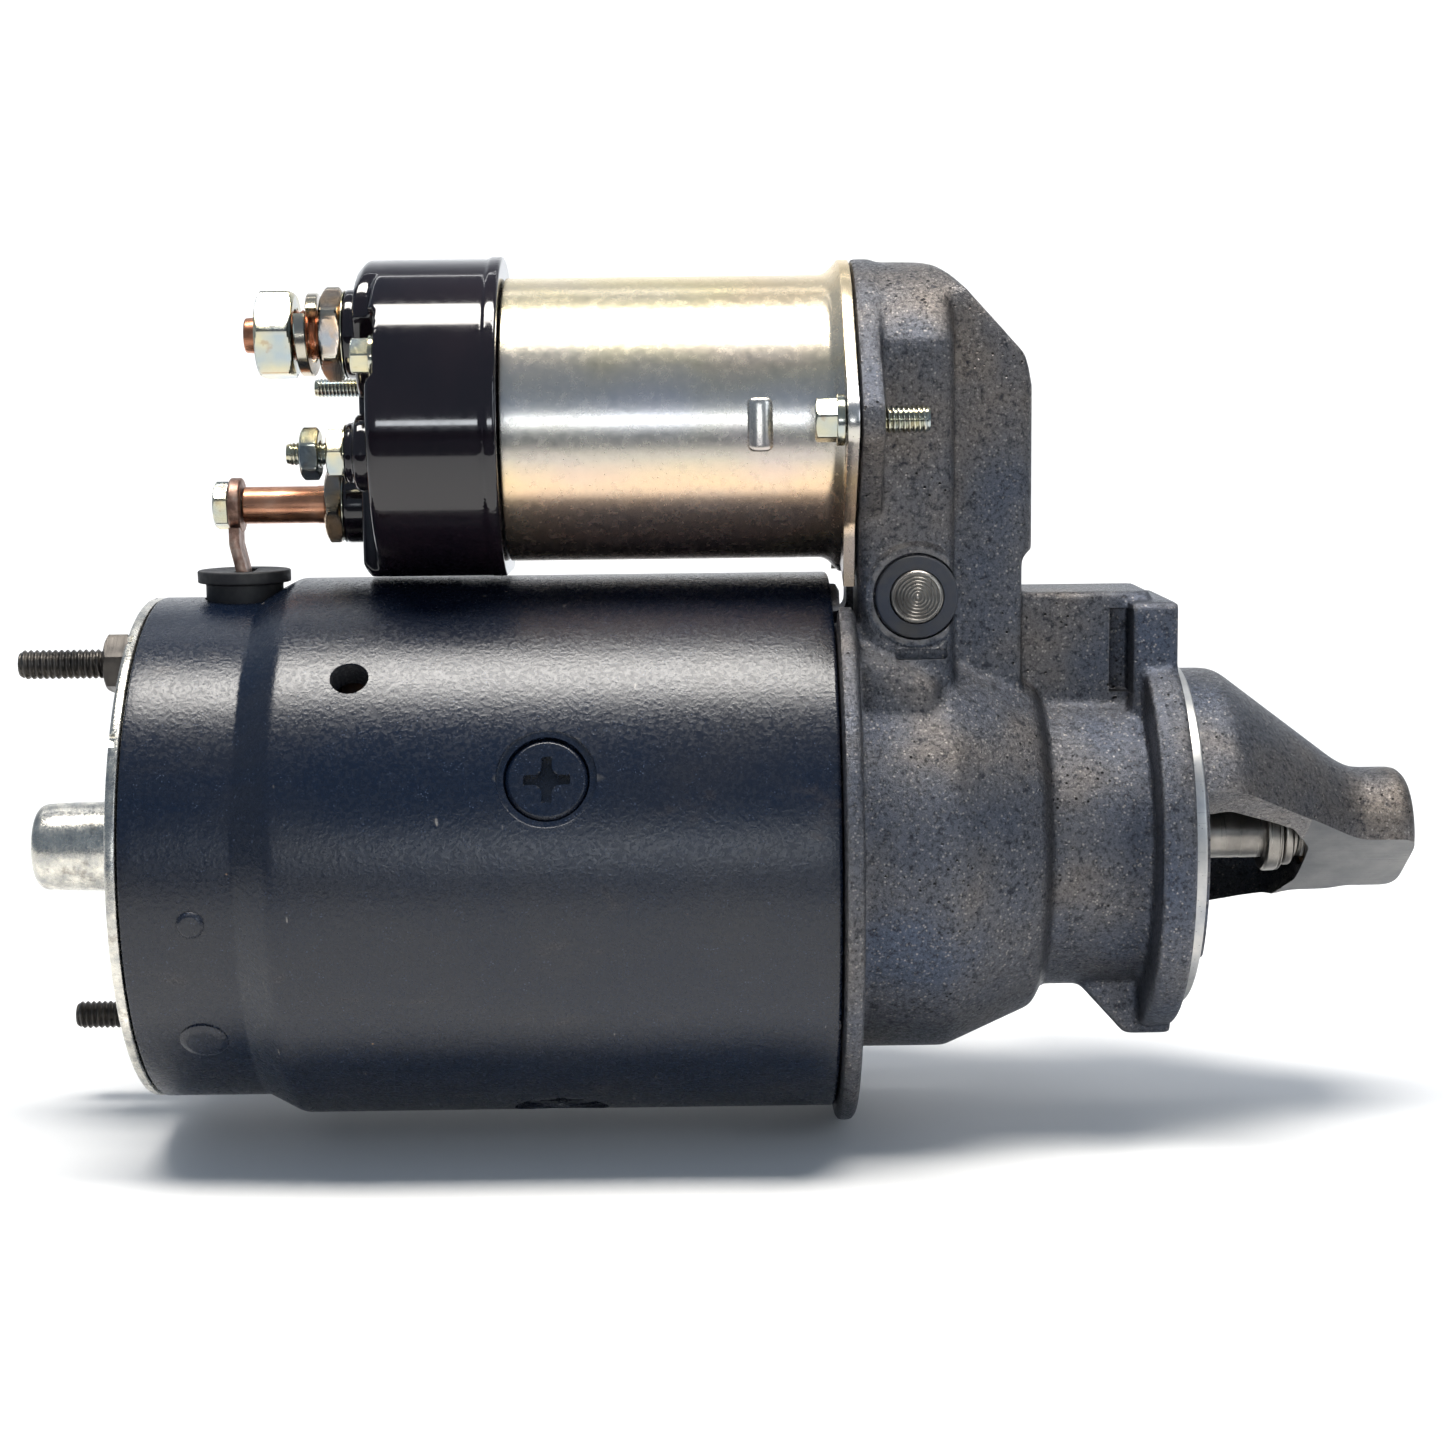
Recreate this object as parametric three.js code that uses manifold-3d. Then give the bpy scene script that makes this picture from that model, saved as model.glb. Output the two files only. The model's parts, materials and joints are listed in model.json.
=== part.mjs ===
// Automotive starter motor with a solenoid-operated overrunning-clutch drive.
// Millimetres, +Z up. The motor shaft lies along X, the nose points to +X, and the solenoid sits above.
// The origin is on the shaft axis, in the plane of the mounting flange's face.
import * as THREE from 'three';
import { mergeVertices } from 'three/addons/utils/BufferGeometryUtils.js';
import Module from 'manifold-3d';

const wasm = await Module();
wasm.setup();

// Driving dimensions
const GAP = 0.3; // clearance between pieces that touch
const SOLENOID_Z = 90.5; // height of the solenoid axis above the shaft
const FRAME_FRONT = -72.3; // field frame tube
const FRAME_REAR = -214.4;
const FRAME_RADIUS = 57.5;
const FRAME_REAR_RADIUS = 53.6;
const FRAME_BORE = 51;
const FRAME_REAR_BORE = 48.3;
const STEP_FRONT = -185; // where the frame tapers to its smaller rear end
const STEP_REAR = -191.5;
const POLE_ANGLE = 22.5; // first pole, in degrees from -Y towards +Z
const POLE_SCREW_X = -130;
const CORE_REAR = -163;
const CORE_FRONT = -100;
const CORE_RADIUS = 34.4;
const BOLT_ANGLE = 67.5;
const BOLT_CIRCLE = 45;
const BOLT_RADIUS = 3.1;
const BOLT_REAR = -240.7;
const PLATE_FACE = -217; // rear face of the commutator end frame
const BOSS_END = -243.2;
const BOLT_FRONT = -60.6;
const SHAFT_RADIUS = 5.6; // journals and pinion seat
const SPLINE_RADIUS = 6.8;
const HOUSING_REAR = -72;
const RING_RADIUS = 60.8;
const BODY_RADIUS = 45.1;
const NECK_RADIUS = 32.3;
const NECK_BORE = 25.5;
const PILOT_RADIUS = 36.6;
const PILOT_DEPTH = 3;
const FLANGE_RADIUS = 41.8;
const FLANGE_THICK = 7;
const EAR_THICK = 9.6;
const MOUNT_HOLE_RADIUS = 5.1;
const UPPER_HOLE = [0, 44.6]; // y, z
const REAR_HOLE = [45.5, -12];
const NOSE_END = 52.4;
const NOSE_RADIUS = 13.8;
const NOSE_CUT = 7.9; // distance of the nose's slanting flat from the shaft axis
const NOSE_CUT_ANGLE = 53.6; // how far the flat faces below -Y, in degrees
const PIVOT_X = -55.4;
const PIVOT_Z = 54.4;
const PIVOT_RADIUS = 5.4;
const LEVER_REST = 9.5; // lean of the lever at rest, in degrees
const CASE_REAR = -139.5; // solenoid
const CASE_RADIUS = 29.7;
const TOWER_FRONT = -30.6; // shift tower
const PAD_FACE = -67.5;
const PAD_BACK = -62.7;
const MOUNT_SCREW_TIP = -53.7;
const PLATE_THICK = 2.4;
const PLATE_RADIUS = 32.8;
const MOUNT_SCREW_Y = 38;
const CAP_RADIUS = 33.8;
const CAP_FACE = -166;
const POCKET_FACE = -164.4; // where the cap screws sit
const TERMINAL_FACE = -169.6;
const BATTERY_FACE = -172.4; // ends of the moulded bosses round the studs
const MOTOR_FACE = -174.9;
const RELAY_FACE = -171.4;
const CONTACT_X = -155.3; // inner faces of the stud heads
const BATTERY = [-6.5, 18.3]; // y, z from the solenoid axis
const MOTOR = [4.5, -17.5];
const RELAY = [-19, -6];
const START = [19, 7.2];
const CAP_SCREW = [-25, 13.7];
const CAP_POCKET = [-26.6, 15.5];
const GROMMET_X = -196.7;

// Materials
function finish(color, roughness, metalness) {
  return new THREE.MeshStandardMaterial({ color, roughness, metalness });
}
const CAST_IRON = finish(0x4a403a, 0.65, 0.6);
const BLACK_PAINT = finish(0x15171c, 0.4, 0.1);
const CAST_ZINC = finish(0xb9b9b4, 0.45, 0.8);
const GOLD_ZINC = finish(0xc2a566, 0.3, 0.9);
const BRIGHT_ZINC = finish(0xb8b29c, 0.35, 0.9);
const COPPER = finish(0xa8603c, 0.35, 0.9);
const STEEL = finish(0x8c8c8c, 0.35, 0.95);
const DARK_STEEL = finish(0x3c3a38, 0.5, 0.9);
const PHENOLIC = finish(0x120c0c, 0.2, 0);
const RUBBER = finish(0x1a1a1c, 0.8, 0);
const BRONZE = finish(0x9c7440, 0.4, 0.9);
const CARBON = finish(0x2c2a2a, 0.7, 0.2);

// Solids
function solid(geometry) {
  const bare = geometry.clone();
  bare.deleteAttribute('normal');
  bare.deleteAttribute('uv');
  const merged = mergeVertices(bare, 1e-4);
  const corners = merged.index.array;
  const kept = [];
  for (let i = 0; i < corners.length; i += 3) {
    const [a, b, c] = corners.slice(i, i + 3);
    if (a !== b && b !== c && c !== a) {
      kept.push(a, b, c);
    }
  }
  const vertProperties = new Float32Array(merged.attributes.position.array);
  const mesh = new wasm.Mesh({ numProp: 3, vertProperties, triVerts: new Uint32Array(kept) });
  return new wasm.Manifold(mesh);
}

function union(...solids) {
  return solids.reduce((sum, one) => sum.add(one));
}

// Turns a profile of [x, radius] points about the X axis.
function turned(profile, segments = 20) {
  const points = profile.map(([x, radius]) => new THREE.Vector2(radius, x));
  const onAxis = profile[0][1] === 0;
  if (THREE.ShapeUtils.area(points) < 0) {
    points.reverse();
  }
  if (!onAxis) {
    points.push(points[0].clone());
  }
  return solid(new THREE.LatheGeometry(points, segments).rotateZ(-Math.PI / 2));
}

function rod(from, to, radius, segments = 20) {
  return turned([[from, 0], [from, radius], [to, radius], [to, 0]], segments);
}

function tube(from, to, outer, inner, segments = 20) {
  return turned([[from, inner], [from, outer], [to, outer], [to, inner]], segments);
}

function shapeOf(points) {
  return new THREE.Shape(points.map(([u, v]) => new THREE.Vector2(u, v)));
}

// Extrudes a shape drawn in (y, z) along X.
function alongX(shape, from, to, curveSegments = 16) {
  const options = { depth: to - from, bevelEnabled: false, curveSegments };
  const basis = new THREE.Matrix4().makeBasis(
    new THREE.Vector3(0, 1, 0), new THREE.Vector3(0, 0, 1), new THREE.Vector3(1, 0, 0));
  return solid(new THREE.ExtrudeGeometry(shape, options).applyMatrix4(basis).translate(from, 0, 0));
}

// Extrudes an outline drawn in (x, z) along Y.
function alongY(points, from, to) {
  const options = { depth: to - from, bevelEnabled: false };
  const basis = new THREE.Matrix4().makeBasis(
    new THREE.Vector3(1, 0, 0), new THREE.Vector3(0, 0, 1), new THREE.Vector3(0, -1, 0));
  return solid(new THREE.ExtrudeGeometry(shapeOf(points), options).applyMatrix4(basis).translate(0, to, 0));
}

function box([x0, x1], [y0, y1], [z0, z1]) {
  const geometry = new THREE.BoxGeometry(x1 - x0, y1 - y0, z1 - z0);
  return solid(geometry.translate((x0 + x1) / 2, (y0 + y1) / 2, (z0 + z1) / 2));
}

function pinAlongY(x, z, radius, from, to, segments = 16) {
  return rod(from, to, radius, segments).rotate([0, 0, 90]).translate([x, 0, z]);
}

function hexagon(acrossFlats) {
  const corner = acrossFlats / Math.sqrt(3);
  const points = [];
  for (let i = 0; i < 6; i += 1) {
    const angle = i * Math.PI / 3;
    points.push([corner * Math.cos(angle), corner * Math.sin(angle)]);
  }
  return shapeOf(points);
}

function nut(from, to, acrossFlats, bore) {
  return alongX(hexagon(acrossFlats), from, to).subtract(rod(from - 1, to + 1, bore, 16));
}

// Turns a solid about X, where 0 degrees is -Y and 90 degrees is +Z.
function atAngle(one, degrees) {
  return one.rotate([-degrees, 0, 0]);
}

function onCircle(radius, degrees) {
  const angle = THREE.MathUtils.degToRad(degrees);
  return [-radius * Math.cos(angle), radius * Math.sin(angle)];
}

function spring(from, to, radius, wire, turns) {
  const coil = new THREE.Curve();
  coil.getPoint = (t, target = new THREE.Vector3()) => {
    const angle = turns * 2 * Math.PI * t;
    const x = from + wire + (to - from - 2 * wire) * t;
    return target.set(x, radius * Math.cos(angle), radius * Math.sin(angle));
  };
  const section = new THREE.Shape();
  section.absarc(0, 0, wire, 0, 2 * Math.PI);
  const options = { extrudePath: coil, steps: turns * 8, bevelEnabled: false, curveSegments: 3 };
  return solid(new THREE.ExtrudeGeometry(section, options));
}

// Scene
const starter = new THREE.Group();
const motor = new THREE.Group();
const solenoid = new THREE.Group();
solenoid.position.z = SOLENOID_Z;
const lever = new THREE.Group();
lever.position.set(PIVOT_X, 0, PIVOT_Z);
starter.add(motor, solenoid, lever);

function place(group, name, shape, material) {
  const made = shape.getMesh();
  const geometry = new THREE.BufferGeometry();
  geometry.setAttribute('position', new THREE.BufferAttribute(made.vertProperties, 3));
  geometry.setIndex(new THREE.BufferAttribute(made.triVerts, 1));
  geometry.computeVertexNormals();
  const mesh = new THREE.Mesh(geometry, material);
  mesh.name = name;
  group.add(mesh);
  return mesh;
}

// Drive housing
function noseFlatCutter() {
  const reach = 60;
  const cutter = box([PILOT_DEPTH, NOSE_END + 1], [-reach, reach], [-reach, -NOSE_CUT]);
  return cutter.rotate([-(90 - NOSE_CUT_ANGLE), 0, 0]);
}

function nose() {
  const outer = turned([
    [-1, 0], [-1, 35.8], [11, 35.8], [14.2, 34], [21.8, 28.5], [30.5, 21.4], [35.9, 17], [39.2, 14.8],
    [43, NOSE_RADIUS], [NOSE_END - 2.4, NOSE_RADIUS], [NOSE_END - 0.6, 12.6], [NOSE_END, 10.8],
    [NOSE_END, 0]], 36);
  const underside = alongY([
    [-2, 60], [-2, -40], [2.8, -40], [3.2, -20.8], [14, -18.6], [24, -15.8], [30, -14.2],
    [NOSE_END + 1, -13.6], [NOSE_END + 1, 60]], -50, 50);
  return outer.intersect(underside).subtract(noseFlatCutter());
}

function housingCavity() {
  return turned([
    [-80, 0], [-80, 38], [-45, 38], [-37, NECK_BORE], [4, NECK_BORE], [9, 27.3], [14, 25], [20, 21.8],
    [23.3, 20], [27.1, 16], [29.6, 12.4], [30.2, 7.3], [48.4, 7.3], [48.4, 0]], 28);
}

function flange() {
  const shape = new THREE.Shape();
  shape.absarc(0, 0, FLANGE_RADIUS, 0, 2 * Math.PI);
  const disc = alongX(shape, -FLANGE_THICK, 0, 20);
  const ear = box([-EAR_THICK, 0], [-17, 17], [20, 51.8]);
  const foot = alongY([[-20, -30], [-EAR_THICK, -42], [0, -42], [0, -20], [-20, -20]], -13, 13);
  const rearEar = union(
    rod(-EAR_THICK, 0, 9.5, 20).translate([0, ...REAR_HOLE]),
    box([-EAR_THICK, 0], [20, REAR_HOLE[0]], [REAR_HOLE[1] - 9.5, REAR_HOLE[1] + 9.5]));
  return union(disc, ear, foot, rearEar, rod(-1, PILOT_DEPTH, PILOT_RADIUS, 36));
}

// The shift tower: an arch in (y, z), cut to its outline seen from the side.
function arch(halfWidth, topRadius, bottom) {
  const shape = new THREE.Shape();
  shape.moveTo(-halfWidth, bottom);
  shape.lineTo(halfWidth, bottom);
  const lift = Math.acos(halfWidth / topRadius);
  shape.absarc(0, SOLENOID_Z, topRadius, lift, Math.PI - lift);
  return shape;
}

function tower() {
  const wide = alongX(arch(28, 32, 12), PAD_FACE, -46, 10);
  const narrow = alongX(arch(18.5, 31.6, 12), -46.5, TOWER_FRONT, 10);
  const outline = alongY([
    [-70, 10], [-70, 124], [-62, 123], [-53.5, 122.4], [-49.4, 121], [-45.8, 118.2], [-34, 105.2],
    [-31.6, 101.4], [TOWER_FRONT, 96], [TOWER_FRONT, 62.8], [-32.6, 61.4], [-32.6, 10]], -40, 40);
  return wide.add(narrow).intersect(outline);
}

// Outline in (y, z) of the solenoid's flange: a disc drawn out to two bolt ears, on a foot.
function eared(radius, earRadius, foot, bottom) {
  const lean = Math.acos((radius - earRadius) / MOUNT_SCREW_Y);
  const waist = -22;
  const shape = new THREE.Shape();
  shape.moveTo(-foot, bottom);
  shape.lineTo(foot, bottom);
  shape.lineTo(foot, waist);
  shape.absarc(MOUNT_SCREW_Y, 0, earRadius, -lean, lean);
  shape.absarc(0, 0, radius, lean, Math.PI - lean);
  shape.absarc(-MOUNT_SCREW_Y, 0, earRadius, Math.PI - lean, Math.PI + lean);
  shape.lineTo(-foot, waist);
  return shape;
}

function solenoidPad() {
  return alongX(eared(32.6, 6.9, 26, -46.5), PAD_FACE, PAD_BACK, 10).translate([0, 0, SOLENOID_Z]);
}

function towerCavity() {
  const well = alongY([
    [-75, 20], [-75, 112], [-53, 112], [-36.5, 97], [-36.5, 40], [-36.5, 20]], -12.6, 12.6);
  return well.add(rod(-75, -58, 20.5, 24).translate([0, 0, SOLENOID_Z]));
}

function driveHousing() {
  const shell = turned([
    [HOUSING_REAR, 0], [HOUSING_REAR, RING_RADIUS], [-68, RING_RADIUS], [-68, 46.4], [-66.8, BODY_RADIUS],
    [-49, BODY_RADIUS], [-30.8, 37.3], [-28.8, 36.2], [-27.6, 33.4], [-26.2, NECK_RADIUS], [-1, NECK_RADIUS],
    [-1, 0]], 40);
  const solenoidClearance = alongX(arch(29, 33.4, 48), HOUSING_REAR - 1, PAD_FACE, 12);
  const bridge = box([-34, -5], [-12, 12], [20, 53.8]);
  const [boltY, boltZ] = onCircle(BOLT_CIRCLE, BOLT_ANGLE + 180);
  const boltBoss = rod(-68.5, -57, 8.4, 20).translate([0, boltY, boltZ]);
  const screwHoles = [-MOUNT_SCREW_Y, MOUNT_SCREW_Y].map((y) => rod(-70, -60, 3.1, 16)
    .translate([0, y, SOLENOID_Z]));
  const boltHoles = [BOLT_ANGLE, BOLT_ANGLE + 180].map((angle) => {
    const [y, z] = onCircle(BOLT_CIRCLE, angle);
    return rod(-75, BOLT_FRONT + GAP, BOLT_RADIUS + GAP, 16).translate([0, y, z]);
  });
  const mountHoles = [UPPER_HOLE, REAR_HOLE].map(([y, z]) => rod(-40, 1, MOUNT_HOLE_RADIUS, 20)
    .subtract(rod(-41, -EAR_THICK - 10, 20, 8)).translate([0, y, z]));
  const pivotHole = pinAlongY(PIVOT_X, PIVOT_Z, PIVOT_RADIUS + GAP, -40, 40);
  const sealSeat = pinAlongY(PIVOT_X, PIVOT_Z, 8.9, -40, -25.4);
  const recess = pinAlongY(PIVOT_X, PIVOT_Z, 11, -40, -27.4);
  const grooves = [[-20, -8.5], [8.5, 20]].map((y) => box([-13.4, -EAR_THICK], y, [33.5, 49.6]));
  return union(shell.subtract(solenoidClearance), tower(), solenoidPad(), bridge, boltBoss, flange(), nose())
    .subtract(union(housingCavity(), towerCavity(), pivotHole, sealSeat, recess, ...grooves,
      ...screwHoles, ...boltHoles, ...mountHoles));
}
place(motor, 'drive_housing', driveHousing(), CAST_IRON);
place(motor, 'nose_bushing', tube(30.6, 48, 7, SHAFT_RADIUS + GAP, 24), BRONZE);

// Field frame and its poles
function screwSeat(angle) {
  const through = turned([
    [-60, 0], [-60, 10], [-56.4, 10], [-56.4, 8.3], [-54.6, 8.3], [-52, 5], [-48, 5], [-48, 0]], 16);
  return atAngle(through.rotate([0, 0, 90]).translate([POLE_SCREW_X, 0, 0]), angle);
}

function fieldFrame() {
  const tubeShell = turned([
    [FRAME_REAR, FRAME_REAR_BORE], [FRAME_REAR, FRAME_REAR_RADIUS], [STEP_REAR, FRAME_REAR_RADIUS],
    [STEP_FRONT, FRAME_RADIUS], [FRAME_FRONT, FRAME_RADIUS], [FRAME_FRONT, FRAME_BORE],
    [STEP_FRONT + 4, FRAME_BORE], [STEP_REAR + 4, FRAME_REAR_BORE]], 48);
  const leadHole = rod(40, 70, 8.5, 20).rotate([0, -90, 0]).translate([GROMMET_X, 0, 0]);
  const peepHole = atAngle(rod(-70, -40, 3.8, 16).rotate([0, 0, 90]).translate([-169.5, 0, 0]), 45);
  const cuts = [leadHole, peepHole];
  for (let i = 0; i < 4; i += 1) {
    cuts.push(screwSeat(POLE_ANGLE + 90 * i));
  }
  return tubeShell.subtract(union(...cuts));
}
place(motor, 'field_frame', fieldFrame(), BLACK_PAINT);

// A pole shoe stands on -Y before it is turned to its angle.
function poleShoe() {
  const reach = THREE.MathUtils.degToRad(33);
  const shape = new THREE.Shape();
  shape.absarc(0, 0, 38.6, Math.PI - reach, Math.PI + reach);
  shape.absarc(0, 0, 35.4, Math.PI + reach, Math.PI - reach, true);
  const tips = alongX(shape, CORE_REAR, CORE_FRONT, 8);
  const stem = box([CORE_REAR, CORE_FRONT], [-55, -37], [-11.5, 11.5]);
  const seat = rod(CORE_REAR - 1, CORE_FRONT + 1, FRAME_BORE - GAP - 0.1, 36);
  const hole = rod(-60, -40.5, 4.8, 16).rotate([0, 0, 90]).translate([POLE_SCREW_X, 0, 0]);
  return tips.add(stem.intersect(seat)).subtract(hole);
}

function poleScrew() {
  const body = turned([
    [-56, 0], [-56, 8], [-54.4, 8], [-51.6, 4.5], [-42, 4.5], [-41, 3.6], [-41, 0]], 16)
    .rotate([0, 0, 90]);
  const slots = union(box([-5, 5], [-57, -53.8], [-0.9, 0.9]), box([-0.9, 0.9], [-57, -53.8], [-5, 5]));
  return body.subtract(slots).translate([POLE_SCREW_X, 0, 0]);
}

for (let i = 0; i < 4; i += 1) {
  const angle = POLE_ANGLE + 90 * i;
  place(motor, `pole_shoe_${i + 1}`, atAngle(poleShoe(), angle), DARK_STEEL);
  place(motor, `pole_screw_${i + 1}`, atAngle(poleScrew(), angle), BLACK_PAINT);
}

function fieldCoils() {
  const ring = tube(-172, -90, 50.3, 39.1, 36);
  const cuts = [];
  for (let i = 0; i < 4; i += 1) {
    const window = box([CORE_REAR - 1, CORE_FRONT + 1], [-60, -30], [-12.3, 12.3]);
    const between = box([-168.5, -80], [-60, -20], [-8, 8]);
    const boltPath = box([-180, -80], [-48.7, -20], [-8, 8]);
    cuts.push(atAngle(window, POLE_ANGLE + 90 * i));
    cuts.push(atAngle(between, POLE_ANGLE + 45 + 90 * i));
    cuts.push(atAngle(boltPath, POLE_ANGLE + 45 + 90 * i));
  }
  return ring.subtract(union(...cuts));
}
place(motor, 'field_coils', fieldCoils(), COPPER);

// Commutator end
function endFrame() {
  const body = turned([
    [FRAME_REAR - GAP, 48], [FRAME_REAR - GAP, 53.4], [-215.6, FRAME_REAR_RADIUS], [PLATE_FACE, 53],
    [PLATE_FACE, 11.2], [PLATE_FACE - 1.2, 9.9], [-238.6, 9.4], [-241.7, 8.2], [BOSS_END, 4.8],
    [BOSS_END, 0], [-240.4, 0], [-240.4, 7.3], [-214.2, 7.3], [-214.2, 24], [-211, 24], [-211, 48]], 36);
  const holes = [BOLT_ANGLE, BOLT_ANGLE + 180].map((angle) => {
    const [y, z] = onCircle(BOLT_CIRCLE, angle);
    return rod(-220, -205, BOLT_RADIUS + GAP, 16).translate([0, y, z]);
  });
  return body.subtract(union(...holes));
}
place(motor, 'commutator_end_frame', endFrame(), CAST_ZINC);
place(motor, 'end_bushing', tube(-238, -214.4, 7, SHAFT_RADIUS + GAP, 24), BRONZE);

[BOLT_ANGLE, BOLT_ANGLE + 180].forEach((angle, i) => {
  const [y, z] = onCircle(BOLT_CIRCLE, angle);
  const label = i === 0 ? 'upper' : 'lower';
  const bolt = turned([
    [BOLT_REAR, 0], [BOLT_REAR, 2.3], [BOLT_REAR + 1, BOLT_RADIUS], [BOLT_FRONT - 1, BOLT_RADIUS],
    [BOLT_FRONT, 2.3], [BOLT_FRONT, 0]], 16);
  place(motor, `through_bolt_${label}`, bolt, DARK_STEEL).position.set(0, y, z);
  place(motor, `through_bolt_nut_${label}`, nut(-222.6, -217.3, 11, BOLT_RADIUS + GAP), DARK_STEEL)
    .position.set(0, y, z);
});

// Brush gear
const BRUSH_X = [-201.5, -185.5];
function brushPlate() {
  const ring = tube(-210.7, -208.4, 41, 22, 24);
  const holders = [];
  const wells = [];
  for (let i = 0; i < 4; i += 1) {
    const angle = POLE_ANGLE + 90 * i;
    const [rear, front] = BRUSH_X;
    holders.push(atAngle(box([-209, front + 2], [-34, -22], [-7.2, 7.2]), angle));
    wells.push(atAngle(box([rear - GAP, front + GAP], [-40, -15], [-5 - GAP, 5 + GAP]), angle));
  }
  return ring.add(union(...holders)).subtract(union(...wells));
}
place(motor, 'brush_plate', brushPlate(), CAST_ZINC);

for (let i = 0; i < 4; i += 1) {
  const block = box(BRUSH_X, [-33, -18], [-5, 5]).subtract(rod(-210, -180, 19.3, 24));
  place(motor, `brush_${i + 1}`, atAngle(block, POLE_ANGLE + 90 * i), CARBON);
}

// Field lead: a rubber grommet and the strap to the solenoid's motor stud
const STRAP_Y = [-1, 6];
function grommet() {
  const body = rod(47, 56.8, 8.2, 24).add(rod(56.7, 59.6, 9.9, 24)).rotate([0, -90, 0]);
  const slot = box([-2.2, 2.2], [STRAP_Y[0] - GAP, STRAP_Y[1] + GAP], [40, 70]);
  return body.subtract(slot).translate([GROMMET_X, 0, 0]);
}
place(motor, 'lead_grommet', grommet(), RUBBER);

function fieldLeadStrap() {
  const eyeX = [-199.8, -197.2];
  const eyeZ = SOLENOID_Z + MOTOR[1];
  const strip = alongY([
    [eyeX[0], eyeZ], [eyeX[0], 66], [GROMMET_X - 1.6, 60.5], [GROMMET_X - 1.6, 43.4], [-172.4, 43.4],
    [-172.4, 45.6], [GROMMET_X + 1.6, 45.6], [GROMMET_X + 1.6, 61], [eyeX[1], 66], [eyeX[1], eyeZ]],
  ...STRAP_Y);
  const eye = rod(...eyeX, 6, 20).translate([0, MOTOR[0], eyeZ]);
  const hole = rod(eyeX[0] - 1, eyeX[1] + 1, 2.6, 16).translate([0, MOTOR[0], eyeZ]);
  return strip.add(eye).subtract(hole);
}
place(motor, 'field_lead_strap', fieldLeadStrap(), COPPER);

// Armature
function slotted(radius, depth, slots, slotWidth, from, to, bore) {
  const points = [];
  for (let i = 0; i < slots; i += 1) {
    const middle = (i + 0.5) * 2 * Math.PI / slots;
    for (const [r, side] of [[radius, -1], [radius - depth, -1], [radius - depth, 1], [radius, 1]]) {
      const angle = middle + side * Math.asin(slotWidth / 2 / r);
      points.push([r * Math.cos(angle), r * Math.sin(angle)]);
    }
  }
  return alongX(shapeOf(points), from, to).subtract(rod(from - 1, to + 1, bore, 24));
}

function armatureWindings() {
  const bars = [];
  const count = 16;
  for (let i = 0; i < count; i += 1) {
    const bar = box([-165, -98], [-33.6, -25.6], [-1.5, 1.5]);
    bars.push(atAngle(bar, (i + 0.5) * 360 / count));
  }
  const rear = turned([
    [-180, 21], [-180, 9], [CORE_REAR - GAP, 9], [CORE_REAR - GAP, 33.6], [-170, 33.6], [-177, 27]], 24);
  const front = turned([
    [CORE_FRONT + GAP, 9], [-90, 9], [-88, 20], [-90.5, 29], [-95, 33.6], [CORE_FRONT + GAP, 33.6]], 24);
  return union(rear, front, ...bars);
}

function armatureShaft() {
  return turned([
    [-237.6, 0], [-237.6, 4.6], [-236.6, SHAFT_RADIUS], [-212, SHAFT_RADIUS], [-212, 7.5], [-180.5, 7.5],
    [-180.5, 8.5], [-88, 8.5], [-86, SPLINE_RADIUS], [-26, SPLINE_RADIUS], [-26, SHAFT_RADIUS],
    [46.6, SHAFT_RADIUS], [47.4, 4.8], [47.4, 0]], 16);
}
place(motor, 'armature_shaft', armatureShaft(), STEEL);
place(motor, 'armature_core', slotted(CORE_RADIUS, 9.4, 16, 3.7, CORE_REAR, CORE_FRONT, 8.8), DARK_STEEL);
place(motor, 'armature_windings', armatureWindings(), COPPER);
place(motor, 'commutator', slotted(19, 0.8, 20, 0.9, -206, -181.5, 7.8), COPPER);
place(motor, 'pinion_stop_collar', tube(21.2, 25, 8.5, SHAFT_RADIUS + GAP, 24), STEEL);
place(motor, 'stop_snap_ring', tube(25.4, 27.6, 7.4, SHAFT_RADIUS + GAP, 24), STEEL);

// Drive, at rest away from the ring gear
const SLEEVE_BORE = SPLINE_RADIUS + 0.4;
const SLEEVE_RADIUS = 10.4;
const FORK_X = -64.4;
function overrunningClutch() {
  return turned([
    [-72, SLEEVE_BORE], [-72, SLEEVE_RADIUS], [-46, SLEEVE_RADIUS], [-46, 20], [-44.5, 21.5],
    [-27, 21.5], [-24.6, 19.6], [-24.6, SLEEVE_BORE]], 24);
}

function shiftCollar() {
  const bore = SLEEVE_RADIUS + GAP;
  return turned([
    [FORK_X - 6.6, bore], [FORK_X - 6.6, 18], [FORK_X - 3.9, 18], [FORK_X - 3.9, 14], [FORK_X + 3.9, 14],
    [FORK_X + 3.9, 18], [FORK_X + 6.6, 18], [FORK_X + 6.6, bore]], 24);
}

function pinion() {
  const teeth = 9;
  const points = [];
  for (let i = 0; i < teeth; i += 1) {
    const pitch = 2 * Math.PI / teeth;
    for (const [part, r] of [[-0.34, 9.6], [-0.2, 12.2], [-0.1, 14], [0.1, 14], [0.2, 12.2], [0.34, 9.6]]) {
      const angle = (i + part) * pitch;
      points.push([r * Math.cos(angle), r * Math.sin(angle)]);
    }
  }
  const bore = rod(-30, 10, SHAFT_RADIUS + GAP, 24);
  return alongX(shapeOf(points), -13, 2).add(rod(-24.2, -12, 12, 24)).subtract(bore);
}
place(motor, 'overrunning_clutch', overrunningClutch(), STEEL);
place(motor, 'shift_collar', shiftCollar(), STEEL);
place(motor, 'drive_spring', spring(-57.2, -46.4, 12.6, 1.1, 3), STEEL);
place(motor, 'pinion', pinion(), STEEL);

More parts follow.
